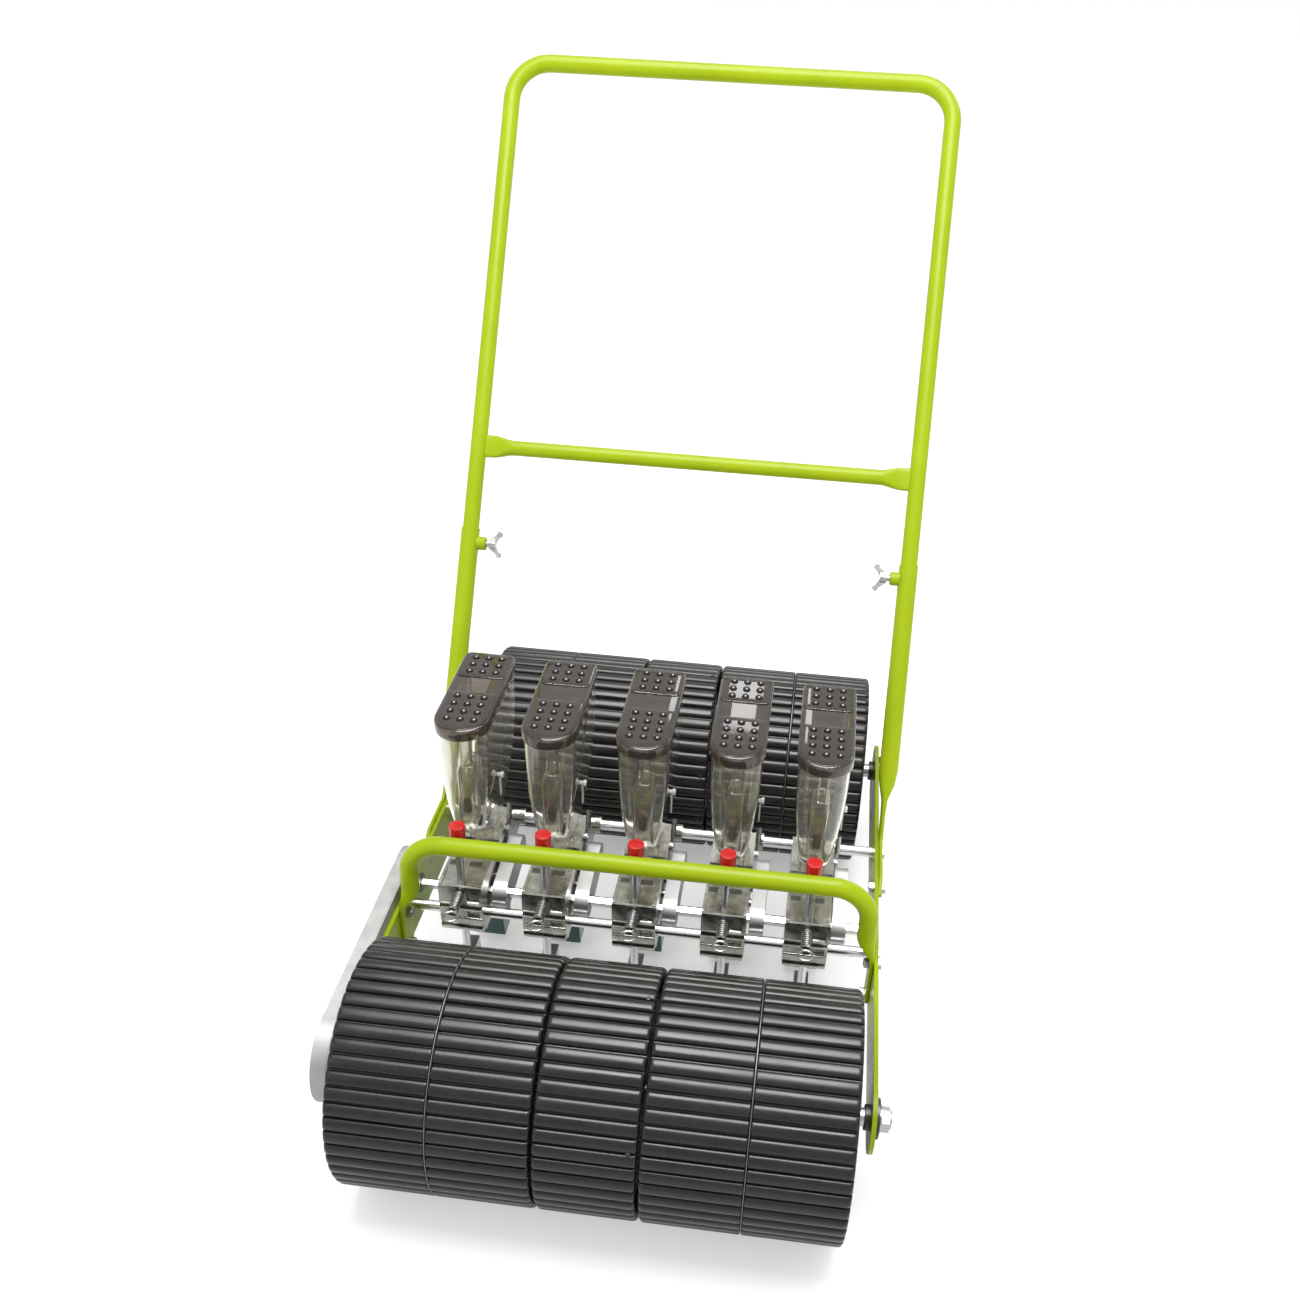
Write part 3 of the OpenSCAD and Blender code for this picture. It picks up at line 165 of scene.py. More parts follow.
# %% World and lamps
bpy.context.scene.view_settings.view_transform = "Standard"
world = bpy.data.worlds.new("studio")
bpy.context.scene.world = world
world.use_nodes = True
tree = world.node_tree
tree.nodes.clear()
lit = add(tree, "ShaderNodeBackground", {"Color": (0.97, 0.98, 1.0, 1), "Strength": 0.75})
white = add(tree, "ShaderNodeBackground", {"Color": (1, 1, 1, 1), "Strength": 1.0})
mixed = add(tree, "ShaderNodeMixShader", {"Fac": seen_rays(tree), 1: lit.outputs[0], 2: white.outputs[0]})
add(tree, "ShaderNodeOutputWorld", {"Surface": mixed.outputs[0]})

def panel(name, place, aim, size, watts):
    """A soft rectangular lamp at place that faces aim."""
    data = bpy.data.lights.new(name, "AREA")
    data.shape = "RECTANGLE"
    data.size, data.size_y = size
    data.energy = watts
    lamp = bpy.data.objects.new(name, data)
    lamp.location = place
    lamp.rotation_euler = (Vector(aim) - Vector(place)).to_track_quat("-Z", "Y").to_euler()
    bpy.context.scene.collection.objects.link(lamp)
    return lamp

panel("overhead", (0.1, -0.5, 2.6), (0.1, -0.3, 0.2), (1.6, 1.2), 34)
gloss = panel("overhead_gloss", (0.1, -0.05, 2.6), (0.1, -0.05, 0.2), (1.7, 2.1), 165)
gloss.visible_diffuse = False
panel("front_left", (-2.0, -2.2, 2.0), (0, -0.2, 0.3), (0.8, 0.8), 10)
panel("behind_right", (1.8, 2.2, 2.2), (0, 0, 0.4), (0.8, 0.8), 10)
panel("lid_glint", (0.005, 2.2, 1.86), (0.1, 0, 0.4), (0.16, 0.2), 0.6)

# %% [markdown]
# ## Effects that several finishes share
# Three node groups hold what the finishes have in common: an uneven tone, a fine grain that
# can be stretched along one axis like a rolled or brushed surface, and dust that settles
# where a face looks up. All of them read Object coordinates.

# %% Shared node groups
def new_group(name, inputs, outputs):
    """An empty shader group; inputs and outputs are (name, socket kind, default) rows."""
    group = bpy.data.node_groups.new(name, "ShaderNodeTree")
    for way, rows in (("INPUT", inputs), ("OUTPUT", outputs)):
        for label, kind, default in rows:
            made = group.interface.new_socket(name=label, in_out=way, socket_type="NodeSocket" + kind)
            if default is not None:
                made.default_value = default
    return group, add(group, "NodeGroupInput"), add(group, "NodeGroupOutput")

def place_of(group, stretch):
    """Object coordinates, scaled by the vector socket stretch."""
    where = add(group, "ShaderNodeTexCoord")
    return add(group, "ShaderNodeVectorMath", {0: where.outputs["Object"], 1: stretch},
               operation="MULTIPLY").outputs[0]

uneven, gin, gout = new_group("uneven_tone",
    [("Color", "Color", (0.8, 0.8, 0.8, 1)), ("Amount", "Float", 0.1), ("Stretch", "Vector", (20, 20, 20))],
    [("Color", "Color", None), ("Value", "Float", None)])
at = place_of(uneven, gin.outputs["Stretch"])
coarse = add(uneven, "ShaderNodeTexNoise", {"Vector": at, "Scale": 1.0, "Detail": 6.0, "Roughness": 0.6})
spread = add(uneven, "ShaderNodeMapRange", {"Value": coarse.outputs["Fac"], "From Min": 0.3,
                                            "From Max": 0.7, "To Min": -1.0, "To Max": 1.0})
gain = add(uneven, "ShaderNodeMath", {0: spread.outputs[0], 1: gin.outputs["Amount"], 2: 1.0},
           operation="MULTIPLY_ADD")
tinted = add(uneven, "ShaderNodeVectorMath", {0: gin.outputs["Color"], "Scale": gain.outputs[0]},
             operation="SCALE")
uneven.links.new(tinted.outputs[0], gout.inputs["Color"])
uneven.links.new(coarse.outputs["Fac"], gout.inputs["Value"])

grain, gin, gout = new_group("fine_grain", [("Stretch", "Vector", (400, 400, 400))],
                             [("Height", "Float", None)])
at = place_of(grain, gin.outputs["Stretch"])
fine = add(grain, "ShaderNodeTexNoise", {"Vector": at, "Scale": 1.0, "Detail": 3.0})
grain.links.new(fine.outputs["Fac"], gout.inputs["Height"])

dust, gin, gout = new_group("settled_dust", [("Amount", "Float", 0.3)], [("Mask", "Float", None)])
facing = add(dust, "ShaderNodeNewGeometry")
upward = add(dust, "ShaderNodeSeparateXYZ", {0: facing.outputs["Normal"]})
lifted = add(dust, "ShaderNodeMapRange", {"Value": upward.outputs["Z"], "From Min": 0.1, "From Max": 1.0})
where = add(dust, "ShaderNodeTexCoord")
specks = add(dust, "ShaderNodeTexNoise", {"Vector": where.outputs["Object"], "Scale": 60.0, "Detail": 8.0,
                                          "Roughness": 0.7})
thick = add(dust, "ShaderNodeMapRange", {"Value": specks.outputs["Fac"], "From Min": 0.42,
                                         "From Max": 0.72})
both = add(dust, "ShaderNodeMath", {0: lifted.outputs[0], 1: thick.outputs[0]}, operation="MULTIPLY")
scaled = add(dust, "ShaderNodeMath", {0: both.outputs[0], 1: gin.outputs["Amount"]}, operation="MULTIPLY")
dust.links.new(scaled.outputs[0], gout.inputs["Mask"])
print("groups:", [g.name for g in bpy.data.node_groups])

# %% [markdown]
# ## One recipe, many finishes
# Paint, plastic and metal differ in a handful of numbers: colour, how uneven it is, gloss,
# grain direction and depth. The recipe wires the shared groups to one Principled shader, and
# whatever is the same all over is set on the shader's own sockets.

# %% The recipe
DUST_TONE = (0.42, 0.39, 0.34, 1)

def finish(name, color, rough=(0.3, 0.4), tone=0.08, patch=(25, 25, 25), fine=(500, 500, 500),
           depth=0.00003, dusty=0.0, **constants):
    """A material from the shared groups. rough is the range of roughness, fine the grain's
    frequency along X, Y and Z, depth the grain's height in metres."""
    mat, tree, shader = start_material(name)
    shade = add(tree, "ShaderNodeGroup", {"Color": color + (1,), "Amount": tone, "Stretch": patch},
                node_tree=uneven)
    spread = add(tree, "ShaderNodeMapRange", {"Value": shade.outputs["Value"], "From Min": 0.3,
                 "From Max": 0.7, "To Min": rough[0], "To Max": rough[1]})
    top = shade.outputs["Color"]
    if dusty:
        film = add(tree, "ShaderNodeGroup", {"Amount": dusty}, node_tree=dust)
        top = add(tree, "ShaderNodeMix", {0: film.outputs["Mask"], 6: top, 7: DUST_TONE},
                  data_type="RGBA").outputs[2]
    ripple = add(tree, "ShaderNodeGroup", {"Stretch": fine}, node_tree=grain)
    relief = add(tree, "ShaderNodeBump", {"Height": ripple.outputs["Height"], "Strength": 1.0,
                                          "Distance": depth})
    tree.links.new(top, shader.inputs["Base Color"])
    tree.links.new(spread.outputs[0], shader.inputs["Roughness"])
    tree.links.new(relief.outputs[0], shader.inputs["Normal"])
    for socket, value in constants.items():
        shader.inputs[socket.replace("_", " ").title().replace("Ior", "IOR")].default_value = value
    return mat

# %% Finishes
LIME = (0.385, 0.505, 0.009)
paint = finish("lime_paint", LIME, rough=(0.24, 0.36), tone=0.07, patch=(14, 14, 9), fine=(700, 700, 700),
               depth=0.00004, dusty=0.02, specular_ior_level=0.10)
drum_black = finish("roller_plastic", (0.0105, 0.0092, 0.0086), rough=(0.22, 0.42), tone=0.25,
                    patch=(9, 30, 30), fine=(60, 420, 420), depth=0.00008, dusty=0.03,
                    specular_ior_level=0.30)
black = finish("black_moulding", (0.012, 0.012, 0.013), rough=(0.35, 0.5), tone=0.15, dusty=0.10)
zinc = finish("bright_zinc", (0.36, 0.365, 0.37), rough=(0.18, 0.32), tone=0.06, patch=(90, 90, 90),
              metallic=1.0)
bar_steel = finish("ground_bar", (0.64, 0.645, 0.65), rough=(0.16, 0.26), tone=0.05, patch=(8, 120, 120),
                   fine=(30, 1500, 1500), depth=0.00001, metallic=1.0)
chain_steel = finish("oiled_steel", (0.30, 0.30, 0.31), rough=(0.30, 0.45), tone=0.15, metallic=1.0)
body_alu = finish("machined_aluminium", (0.34, 0.335, 0.30), rough=(0.14, 0.30), tone=0.28,
                  patch=(70, 70, 70), fine=(700, 120, 700), depth=0.000006, metallic=1.0)
case_alu = finish("satin_casting", (0.42, 0.42, 0.42), rough=(0.36, 0.5), tone=0.05, fine=(800, 800, 800),
                  depth=0.00003, dusty=0.08, metallic=1.0)
rod_steel = finish("brushed_rod", (0.58, 0.59, 0.60), rough=(0.24, 0.36), tone=0.06, fine=(1200, 1200, 60),
                   depth=0.00001, metallic=1.0)
boot_green = finish("boot_plastic", (0.012, 0.085, 0.065), rough=(0.18, 0.3), tone=0.12, dusty=0.10)
# Grey for the thin ring in the roller seams: a painted highlight of the sections' edges
seam_highlight_paint = finish("moulding_seam", (0.11, 0.10, 0.095), rough=(0.35, 0.5), tone=0.3, patch=(9, 60, 60))
red = finish("red_cap", (0.62, 0.012, 0.012), rough=(0.22, 0.32), tone=0.08)
galvanised = finish("galvanised_sheet", (0.34, 0.335, 0.33), rough=(0.45, 0.60), tone=0.10,
                    patch=(60, 60, 60), depth=0.00002, dusty=0.08, metallic=0.5)

# %% [markdown]
# Clear plastic is a closed wall with transmission. The seed hoppers are slightly smoky and
# scuffed, and the lids are tinted dark. Metallic and Transmission Weight stay plain numbers.

# %% Clear plastics
hopper_clear = finish("clear_hopper", (0.94, 0.92, 0.86), rough=(0.02, 0.08), tone=0.03,
                      patch=(30, 30, 12), fine=(35, 35, 12), depth=0.00025,
                      transmission_weight=0.97, ior=1.42)
lid_smoke = finish("smoked_lid", (0.17, 0.135, 0.112), rough=(0.03, 0.07), tone=0.08,
                   patch=(30, 30, 30), fine=(60, 60, 60), depth=0.00003,
                   transmission_weight=0.82, ior=1.5)
lid_dome = finish("smoked_dome", (0.012, 0.010, 0.009), rough=(0.02, 0.05), tone=0.10,
                  patch=(60, 60, 60), fine=(60, 60, 60), depth=0.00002, specular_ior_level=0.45)
FINISH_OF_SLOT = {
    "green": paint, "zinc": zinc, "galvanised": galvanised, "bright_steel": bar_steel,
    "chain_steel": chain_steel, "spring_steel": zinc, "drum_black": drum_black, "bearing_black": black,
    "seed_roller": black, "body_alu": body_alu, "case_alu": case_alu, "rod_steel": rod_steel,
    "boot_green": boot_green, "hopper_clear": hopper_clear, "lid_smoke": lid_smoke}
slot_of = {s["node"]: s["material_slot"] for s in frame["record"]["subparts"]}
for name, thing in node_object.items():
    thing.data.materials.clear()
    thing.data.materials.append(FINISH_OF_SLOT[slot_of[name]])
print("finished CAD nodes:", len(node_object))

# %% [markdown]
# ## Softened edges on machined and pressed pieces
# A sharp CAD corner never catches the light. Each machined or pressed piece gets a copy whose
# triangles are merged into faces, whose sharp edges are bevelled by a fraction of a
# millimetre, and whose big faces keep their flat shading through weighted normals.

# %% Softened copies
def body_of(node):
    """The CAD body that a node belongs to."""
    return next(b for b, members in frame["record"]["behaviour"]["bodies"].items() if node in members)

def bake_modifiers(thing):
    """Puts the evaluated mesh in place of the modifiers."""
    depsgraph = bpy.context.evaluated_depsgraph_get()
    mesh = bpy.data.meshes.new_from_object(thing.evaluated_get(depsgraph))
    thing.modifiers.clear()
    thing.data = mesh

def softened(node, width):
    """A bevelled stand-in for a CAD node; width is the bevel in metres."""
    mesh = node_object[node].data.copy()
    work = bmesh.new()
    work.from_mesh(mesh)
    bmesh.ops.remove_doubles(work, verts=work.verts, dist=2e-6)
    bmesh.ops.dissolve_limit(work, angle_limit=math.radians(0.5), verts=work.verts, edges=work.edges)
    work.to_mesh(mesh)
    work.free()
    mesh.shade_smooth()
    thing = bpy.data.objects.new(node + "_soft", mesh)
    bpy.context.scene.collection.objects.link(thing)
    bevel = thing.modifiers.new("bevel", "BEVEL")
    bevel.width, bevel.segments = width, 2
    bevel.limit_method, bevel.angle_limit = "ANGLE", math.radians(40)
    bevel.use_clamp_overlap = True
    thing.modifiers.new("normals", "WEIGHTED_NORMAL").keep_sharp = True
    bake_modifiers(thing)
    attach(thing, body_of(node))
    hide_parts(node)
    return thing

SOFT_EDGES = {"side_plate_left": 0.0006, "side_plate_right": 0.0006, "unit_frames": 0.0006,
              "gear_cases": 0.0008, "chain_case": 0.0005, "chain_case_cover": 0.0016,
              "axle_bearings": 0.0008, "frame_fasteners": 0.0004, "wing_bolt_left": 0.0006,
              "wing_bolt_right": 0.0006, "seed_boots": 0.0006}
for node, width in SOFT_EDGES.items():
    made = softened(node, width)
    print(made.name, len(made.data.polygons), "faces")

# %% [markdown]
# ## Surfaces from two numbers
# Every new piece is a grid of points: one number runs along it, the other around it. The grid
# is filled as whole arrays and closed by a fan at each open end. A closed piece whose volume
# comes out negative is inside out, so it is turned.
# Super-ellipses give many cross sections: power 2 is a circle and a high power nearly a box.

# %% Grid helpers
X, Y, Z = np.eye(3)

def turn_angles(count):
    """Angles of count points evenly round a full turn."""
    return np.linspace(0, 2 * math.pi, count, endpoint=False)

def super_ellipse(angle, power):
    """Two coordinates of |x| ** power + |y| ** power = 1 at those angles."""
    return [np.sign(v) * np.abs(v) ** (2 / power) for v in (np.cos(angle), np.sin(angle))]

def grid_faces(rows, cols, wrap_rows, wrap_cols, first=0):
    """Quads between neighbouring grid points; the point at row i, column j has index i*cols+j."""
    i = np.arange(rows if wrap_rows else rows - 1)[:, None]
    j = np.arange(cols if wrap_cols else cols - 1)[None, :]
    i2, j2 = (i + 1) % rows, (j + 1) % cols
    quads = np.stack((i * cols + j, i * cols + j2, i2 * cols + j2, i2 * cols + j), axis=-1)
    return quads.reshape(-1, 4) + first

def closed_sweep(points):
    """A swept surface: points[row, column] goes along and around. Both ends get a fan."""
    rows, cols, _ = points.shape
    flat = points.reshape(-1, 3)
    mids = np.stack((points[0].mean(0), points[-1].mean(0)))
    ring = np.arange(cols)
    start = np.stack((np.full(cols, rows * cols), (ring + 1) % cols, ring), axis=1)
    last = (rows - 1) * cols
    end = np.stack((np.full(cols, rows * cols + 1), last + ring, last + (ring + 1) % cols), axis=1)
    return np.vstack((flat, mids)), [grid_faces(rows, cols, False, True), start, end]

def ring_surface(points):
    """A surface closed both ways, such as a tube wall with its inside and its ends."""
    rows, cols, _ = points.shape
    return points.reshape(-1, 3), [grid_faces(rows, cols, True, True)]

def volume(verts, faces):
    """Signed volume: the sum over triangles of a . (b x c) / 6."""
    total = 0.0
    for block in faces:
        for k in range(1, block.shape[1] - 1):
            a, b, c = verts[block[:, 0]], verts[block[:, k]], verts[block[:, k + 1]]
            total += np.einsum("ij,ij->", a, np.cross(b, c)) / 6
    return total

def hollow(outer, inner):
    """One part with a closed cavity, into which the inner skin faces."""
    points, faces = outer
    inner_points, inner_faces = inner
    same_way = volume(points, faces) * volume(inner_points, inner_faces) > 0
    lining = [(block[:, ::-1] if same_way else block) + len(points) for block in inner_faces]
    return np.vstack((points, inner_points)), faces + lining

def build(name, parts, body, mat, replaces=(), flat_angle=None):
    """One object from (points, faces) parts, each turned to face outwards."""
    verts, faces, count = [], [], 0
    for points, blocks in parts:
        turned = volume(points, blocks) < 0
        for block in blocks:
            faces.extend((block[:, ::-1] if turned else block) + count)
        verts.append(points)
        count += len(points)
    mesh = bpy.data.meshes.new(name)
    mesh.from_pydata(np.vstack(verts).tolist(), [], [f.tolist() for f in faces])
    mesh.materials.append(mat)
    mesh.shade_smooth()
    if flat_angle is not None:
        mesh.set_sharp_from_angle(angle=math.radians(flat_angle))
    thing = bpy.data.objects.new(name, mesh)
    bpy.context.scene.collection.objects.link(thing)
    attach(thing, body)
    if replaces:
        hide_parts(*replaces)
    return thing

# %% [markdown]
# ## The ribbed rollers
# Each roller is a row of moulded sections. Around the axle, a rib rises from its valley by a
# super-ellipse, so it is nearly flat on top with a narrow valley beside it. Across the
# section, the rib keeps its height and rounds off in the last few millimetres. Two sections
# make a side shell whose seam carries a thin paler ring, a painted highlight of their edges,
# and a wider groove parts it from the middle one. Small screws are let in beside the joints.

# %% Roller sections
RIBS, RIB_H, ROLLER_R = 50, 0.005, 0.13395
SECTION_W, GROOVE_W, SEAM_GAP = 0.1060, 0.003, 0.0012
# The second number is the width of the paler ring painted into a seam as its highlight
SHELL_WALL, SEAM_HIGHLIGHT_W = 0.004, 0.0010
RIB_HALF, RIB_POWER = 0.452, 2.5
rib_steps = np.array((-0.5, -0.455, -0.44, -0.41, -0.35, -0.25, -0.12, 0,
                      0.12, 0.25, 0.35, 0.41, 0.44, 0.455))
end_steps = np.array((0, 0.0002, 0.0006, 0.0012, 0.0022, 0.0035, 0.0055, 0.030))
SEAM_REACH, SHELL_REACH = 0.0014, 0.0050

def rib_rise(t):
    """Share of the rib's height at t pitches from its middle: (1 - |t / half| ** p) ** (1 / p)."""
    return np.clip(1 - np.abs(t / RIB_HALF) ** RIB_POWER, 0, 1) ** (1 / RIB_POWER)

def quarter_ellipse(depth, reach):
    """0 at an end and 1 from reach inwards; depth is the distance from that end."""
    return np.sqrt(np.clip(1 - ((reach - depth) / reach) ** 2 * (depth < reach), 0, 1))

def ribbed_section(x0, x1, reach0, reach1, axle):
    """One moulded section between x0 and x1, closed round its wall. The outer radius is the
    foot radius plus the rib's rise, both lowered over reach0 and reach1 at the two ends."""
    t = np.tile(rib_steps, RIBS)
    angle = (np.repeat(np.arange(RIBS), len(rib_steps)) + t) * 2 * math.pi / RIBS - math.pi / 2
    across = np.concatenate((x0 + end_steps, x1 - end_steps[::-1]))
    curve = quarter_ellipse(across - x0, reach0) * quarter_ellipse(x1 - across, reach1)
    foot = ROLLER_R - RIB_H - 0.0008 * (1 - curve)
    crest = RIB_H * (0.35 + 0.65 * curve)
    radius = foot[:, None] + crest[:, None] * rib_rise(t)[None, :]
    radius = np.vstack((radius, np.full((2, len(t)), ROLLER_R - RIB_H - SHELL_WALL)))
    across = np.concatenate((across, (x1, x0)))
    y = axle[1] + radius * np.cos(angle)
    z = axle[2] + radius * np.sin(angle)
    x = np.broadcast_to(across[:, None], y.shape)
    return ring_surface(np.stack((x, y, z), axis=-1))

def round_pin(start, end, radius, edge=0.0004, sides=28):
    """A round bar from start to end with a small rounded edge at both ends."""
    start, end = np.array(start, float), np.array(end, float)
    ahead = (end - start) / np.linalg.norm(end - start)
    e1 = np.cross(ahead, X if abs(ahead[0]) < 0.9 else Y)
    e1 /= np.linalg.norm(e1)
    e2 = np.cross(ahead, e1)
    a = turn_angles(sides)[:, None]
    around = np.cos(a) * e1 + np.sin(a) * e2
    length = np.linalg.norm(end - start)
    profile = ((0, radius - edge), (edge * 0.3, radius - edge * 0.3), (edge, radius),
               (length - edge, radius), (length - edge * 0.3, radius - edge * 0.3), (length, radius - edge))
    return closed_sweep(np.array([start + s * ahead + r * around for s, r in profile]))

def plain_ring(x0, x1, r0, r1, axle, sides=120):
    """A plain sleeve between radii r0 and r1."""
    angle = turn_angles(sides)
    x = np.array((x0, x1, x1, x0))[:, None] + 0 * angle
    r = np.array((r1, r1, r0, r0))[:, None]
    return ring_surface(np.stack((x, axle[1] + r * np.cos(angle), axle[2] + r * np.sin(angle)), axis=-1))

# Each row of five screws: its place along the axle, and how far round the first one stands
SCREW_ROWS, SCREW_R = ((-0.154, 126), (0.0445, 86), (0.1575, 112)), 0.0026

def screw_head(axle, x, turn):
    """A small round head let into a rib, on the radius turn degrees round from straight back."""
    out = np.array((0, math.cos(math.radians(turn)), math.sin(math.radians(turn))))
    middle = axle + X * x
    return round_pin(middle + out * (ROLLER_R - 0.006), middle + out * (ROLLER_R - 0.0003),
                     SCREW_R, 0.0005, 20)

roller_w = 5 * SECTION_W + 2 * GROOVE_W
shells = ((-roller_w / 2, 2), (-SECTION_W / 2, 1), (SECTION_W / 2 + GROOVE_W, 2))
for side in ("front", "rear"):
    axle = joint_at[side + "_roller_spin"]
    parts, seam_highlights = [], []
    for start, count in shells:
        x0 = axle[0] + start
        for k in range(count):
            inner_left, inner_right = k > 0, k < count - 1
            a = x0 + k * SECTION_W + (SEAM_GAP / 2 if inner_left else 0)
            b = x0 + (k + 1) * SECTION_W - (SEAM_GAP / 2 if inner_right else 0)
            parts.append(ribbed_section(a, b, SEAM_REACH if inner_left else SHELL_REACH,
                                        SEAM_REACH if inner_right else SHELL_REACH, axle))
        if count > 1:
            seam = x0 + SECTION_W
            valley = ROLLER_R - RIB_H
            # A paler ring in the seam: a painted highlight of the two sections' edges
            seam_highlights.append(plain_ring(seam - SEAM_HIGHLIGHT_W / 2, seam + SEAM_HIGHLIGHT_W / 2, valley - 0.0019,
                                    ROLLER_R - 0.0004, axle))
            parts.append(plain_ring(seam - 0.01, seam + 0.01, valley - SHELL_WALL - 0.002,
                                    valley - 0.0018, axle))
    build(side + "_roller_seams", seam_highlights, side + "_roller", seam_highlight_paint, flat_angle=40)
    roller = build(side + "_roller_shells", parts, side + "_roller", drum_black,
                   (side + "_drums",), flat_angle=50)
    heads = [screw_head(axle, x, turn + fifth) for x, turn in SCREW_ROWS for fifth in range(0, 360, 72)]
    build(side + "_section_screws", heads, side + "_roller", black, flat_angle=40)
    print(roller.name, len(roller.data.polygons), "faces", len(heads), "screw heads")

# %% [markdown]
# ## Bent and flattened tubes
# The handle and the carry bar are tubes, bent in one plane and pressed flat where they are
# bolted or welded. A path in the plane carries a super-ellipse section: power 2 is a circle,
# a higher power with unequal half widths is the flattened end, and numbers blend in between.

# %% Tube helpers
TUBE_SIDES, STATION_GAP = 40, 0.020

def rounded_path(corners, radii):
    """Points along straight runs joined by arcs; corners are 2-D, radii one per inner corner."""
    corners = [np.array(c, float) for c in corners]
    runs = [corners[0][None]]
    for before, corner, after, r in zip(corners, corners[1:], corners[2:], radii):
        a, b = before - corner, after - corner
        a, b = a / np.linalg.norm(a), b / np.linalg.norm(b)
        half = math.acos(np.clip(a @ b, -1, 1)) / 2
        reach = r / math.tan(half)
        middle = corner + (a + b) / np.linalg.norm(a + b) * r / math.sin(half)
        p, q = corner + a * reach - middle, corner + b * reach - middle
        t = np.linspace(0, 1, max(4, int((math.pi - 2 * half) / 0.1)))[:, None]
        sweep = math.pi - 2 * half
        runs.append(middle + (np.sin((1 - t) * sweep) * p + np.sin(t * sweep) * q) / math.sin(sweep))
    runs.append(corners[-1][None])
    points = np.vstack(runs)
    length = np.concatenate(([0], np.cumsum(np.linalg.norm(np.diff(points, axis=0), axis=1))))
    extra = np.arange(0, length[-1], STATION_GAP)
    stations = np.unique(np.round(np.concatenate((length, extra)), 6))
    return np.column_stack([np.interp(stations, length, points[:, k]) for k in (0, 1)]), stations

def swept_tube(flat, origin, axis_u, axis_v, half_u, half_v, power):
    """A tube along flat, a path in the plane of axis_u and axis_v. At each station half_u is
    the half width in the plane, half_v the half width across it, and power the section's."""
    ahead = np.gradient(flat, axis=0)
    ahead /= np.linalg.norm(ahead, axis=1)[:, None]
    sideways = np.column_stack((-ahead[:, 1], ahead[:, 0]))
    c, s = super_ellipse(turn_angles(TUBE_SIDES)[None, :], np.asarray(power)[:, None])
    su, sv = np.asarray(half_u)[:, None] * c, np.asarray(half_v)[:, None] * s
    in_plane = flat[:, None, :] + su[..., None] * sideways[:, None, :]
    normal = np.cross(axis_u, axis_v)
    points = (np.asarray(origin) + in_plane[..., :1] * axis_u + in_plane[..., 1:] * axis_v
              + sv[..., None] * normal)
    return closed_sweep(points)

def smooth_step(a, b, x):
    """0 before a, 1 after b, and an S between them."""
    t = np.clip((x - a) / (b - a), 0, 1)
    return t * t * (3 - 2 * t)

# %% [markdown]
# The handle loop is one bent tube in the slanting plane of the handle. Its crossbar is a
# thinner tube whose ends are pressed upright before they are welded to the loop's sides.

# %% Handle loop and crossbar
HANDLE_ANGLE = math.radians(55.2)
handle_up = np.array((0, math.cos(HANDLE_ANGLE), math.sin(HANDLE_ANGLE)))
HANDLE_Y = 0.414
handle_foot = np.array((axle_place[0], axle_place[1] + HANDLE_Y, axle_place[2]))
LEG_X, LOOP_R, LEG_R = 0.297, 0.011, 0.0125
GRIP_S, CROSS_S, LOOP_LOW, LEG_TOP = 1.0434, 0.520, 0.277, 0.407
GRIP_BEND = 0.050
path, stations = rounded_path([(-LEG_X, LOOP_LOW), (-LEG_X, GRIP_S), (LEG_X, GRIP_S), (LEG_X, LOOP_LOW)],
                              [GRIP_BEND, GRIP_BEND])
loop_r, round_power = np.full_like(stations, LOOP_R), np.full_like(stations, 2.0)
loop = swept_tube(path, handle_foot, X, handle_up, loop_r, loop_r, round_power)
CROSS_R, CROSS_FLAT_L, CROSS_H, CROSS_T = 0.010, 0.034, 0.015, 0.0042
half_span = LEG_X - LOOP_R + 0.0015
xs = np.concatenate((np.linspace(-half_span, -half_span + 0.05, 26), np.linspace(-0.23, 0.23, 24),
                     np.linspace(half_span - 0.05, half_span, 26)))
from_end = half_span - np.abs(xs)
roundness = smooth_step(0.010, CROSS_FLAT_L + 0.006, from_end)
cross_path = np.column_stack((xs, np.full(len(xs), CROSS_S)))
cross = swept_tube(cross_path, handle_foot, X, handle_up,
                   CROSS_H + (CROSS_R - CROSS_H) * roundness, CROSS_T + (CROSS_R - CROSS_T) * roundness,
                   4.5 - 2.5 * roundness)
build("handle_tube", [loop, cross], "handle", paint, ("handle_loop",), flat_angle=40)

# %% [markdown]
# The legs are bolted outside the side plates. Their flat feet lie along the plates, turn up
# into the handle's slope, and swell into the round tube that the loop slides in.

# %% Handle legs
PLATE_OUT, BLADE_T, BLADE_W = 0.2925, 0.005, 0.032
LEG_BOLT = (0.348, 0.026)
side_origin = np.array((0, axle_place[1], axle_place[2]))

def leg(side):
    """A flat foot, a bend, and the round tube; the path runs in the (y, z) plane."""
    slope = np.array((math.cos(HANDLE_ANGLE), math.sin(HANDLE_ANGLE)))
    top = slope * LEG_TOP + (HANDLE_Y, 0)
    bend = (HANDLE_Y + slope[0] * LEG_BOLT[1] / slope[1], LEG_BOLT[1])
    path, s = rounded_path([(LEG_BOLT[0] - BLADE_W / 2, LEG_BOLT[1]), bend, top], [0.030])
    along = (path - (HANDLE_Y, 0)) @ slope
    full = smooth_step(0.085, 0.128, np.where(s > 0.07, along, 0))
    toe = np.sqrt(np.clip(1 - ((0.016 - s) / 0.016) ** 2 * (s < 0.016), 0.02, 1))
    half_w = (BLADE_W / 2 + (LEG_R - BLADE_W / 2) * full) * toe
    half_t = BLADE_T / 2 + (LEG_R - BLADE_T / 2) * full
    points, faces = swept_tube(path, side_origin, Y, Z, half_w, half_t, 6 - 4 * full)
    offset = PLATE_OUT + BLADE_T / 2 + (LEG_X - PLATE_OUT - BLADE_T / 2) * full
    shift = np.concatenate((np.repeat(offset, TUBE_SIDES), (offset[0], offset[-1])))
    return points + np.outer(side * shift + axle_place[0], X), faces

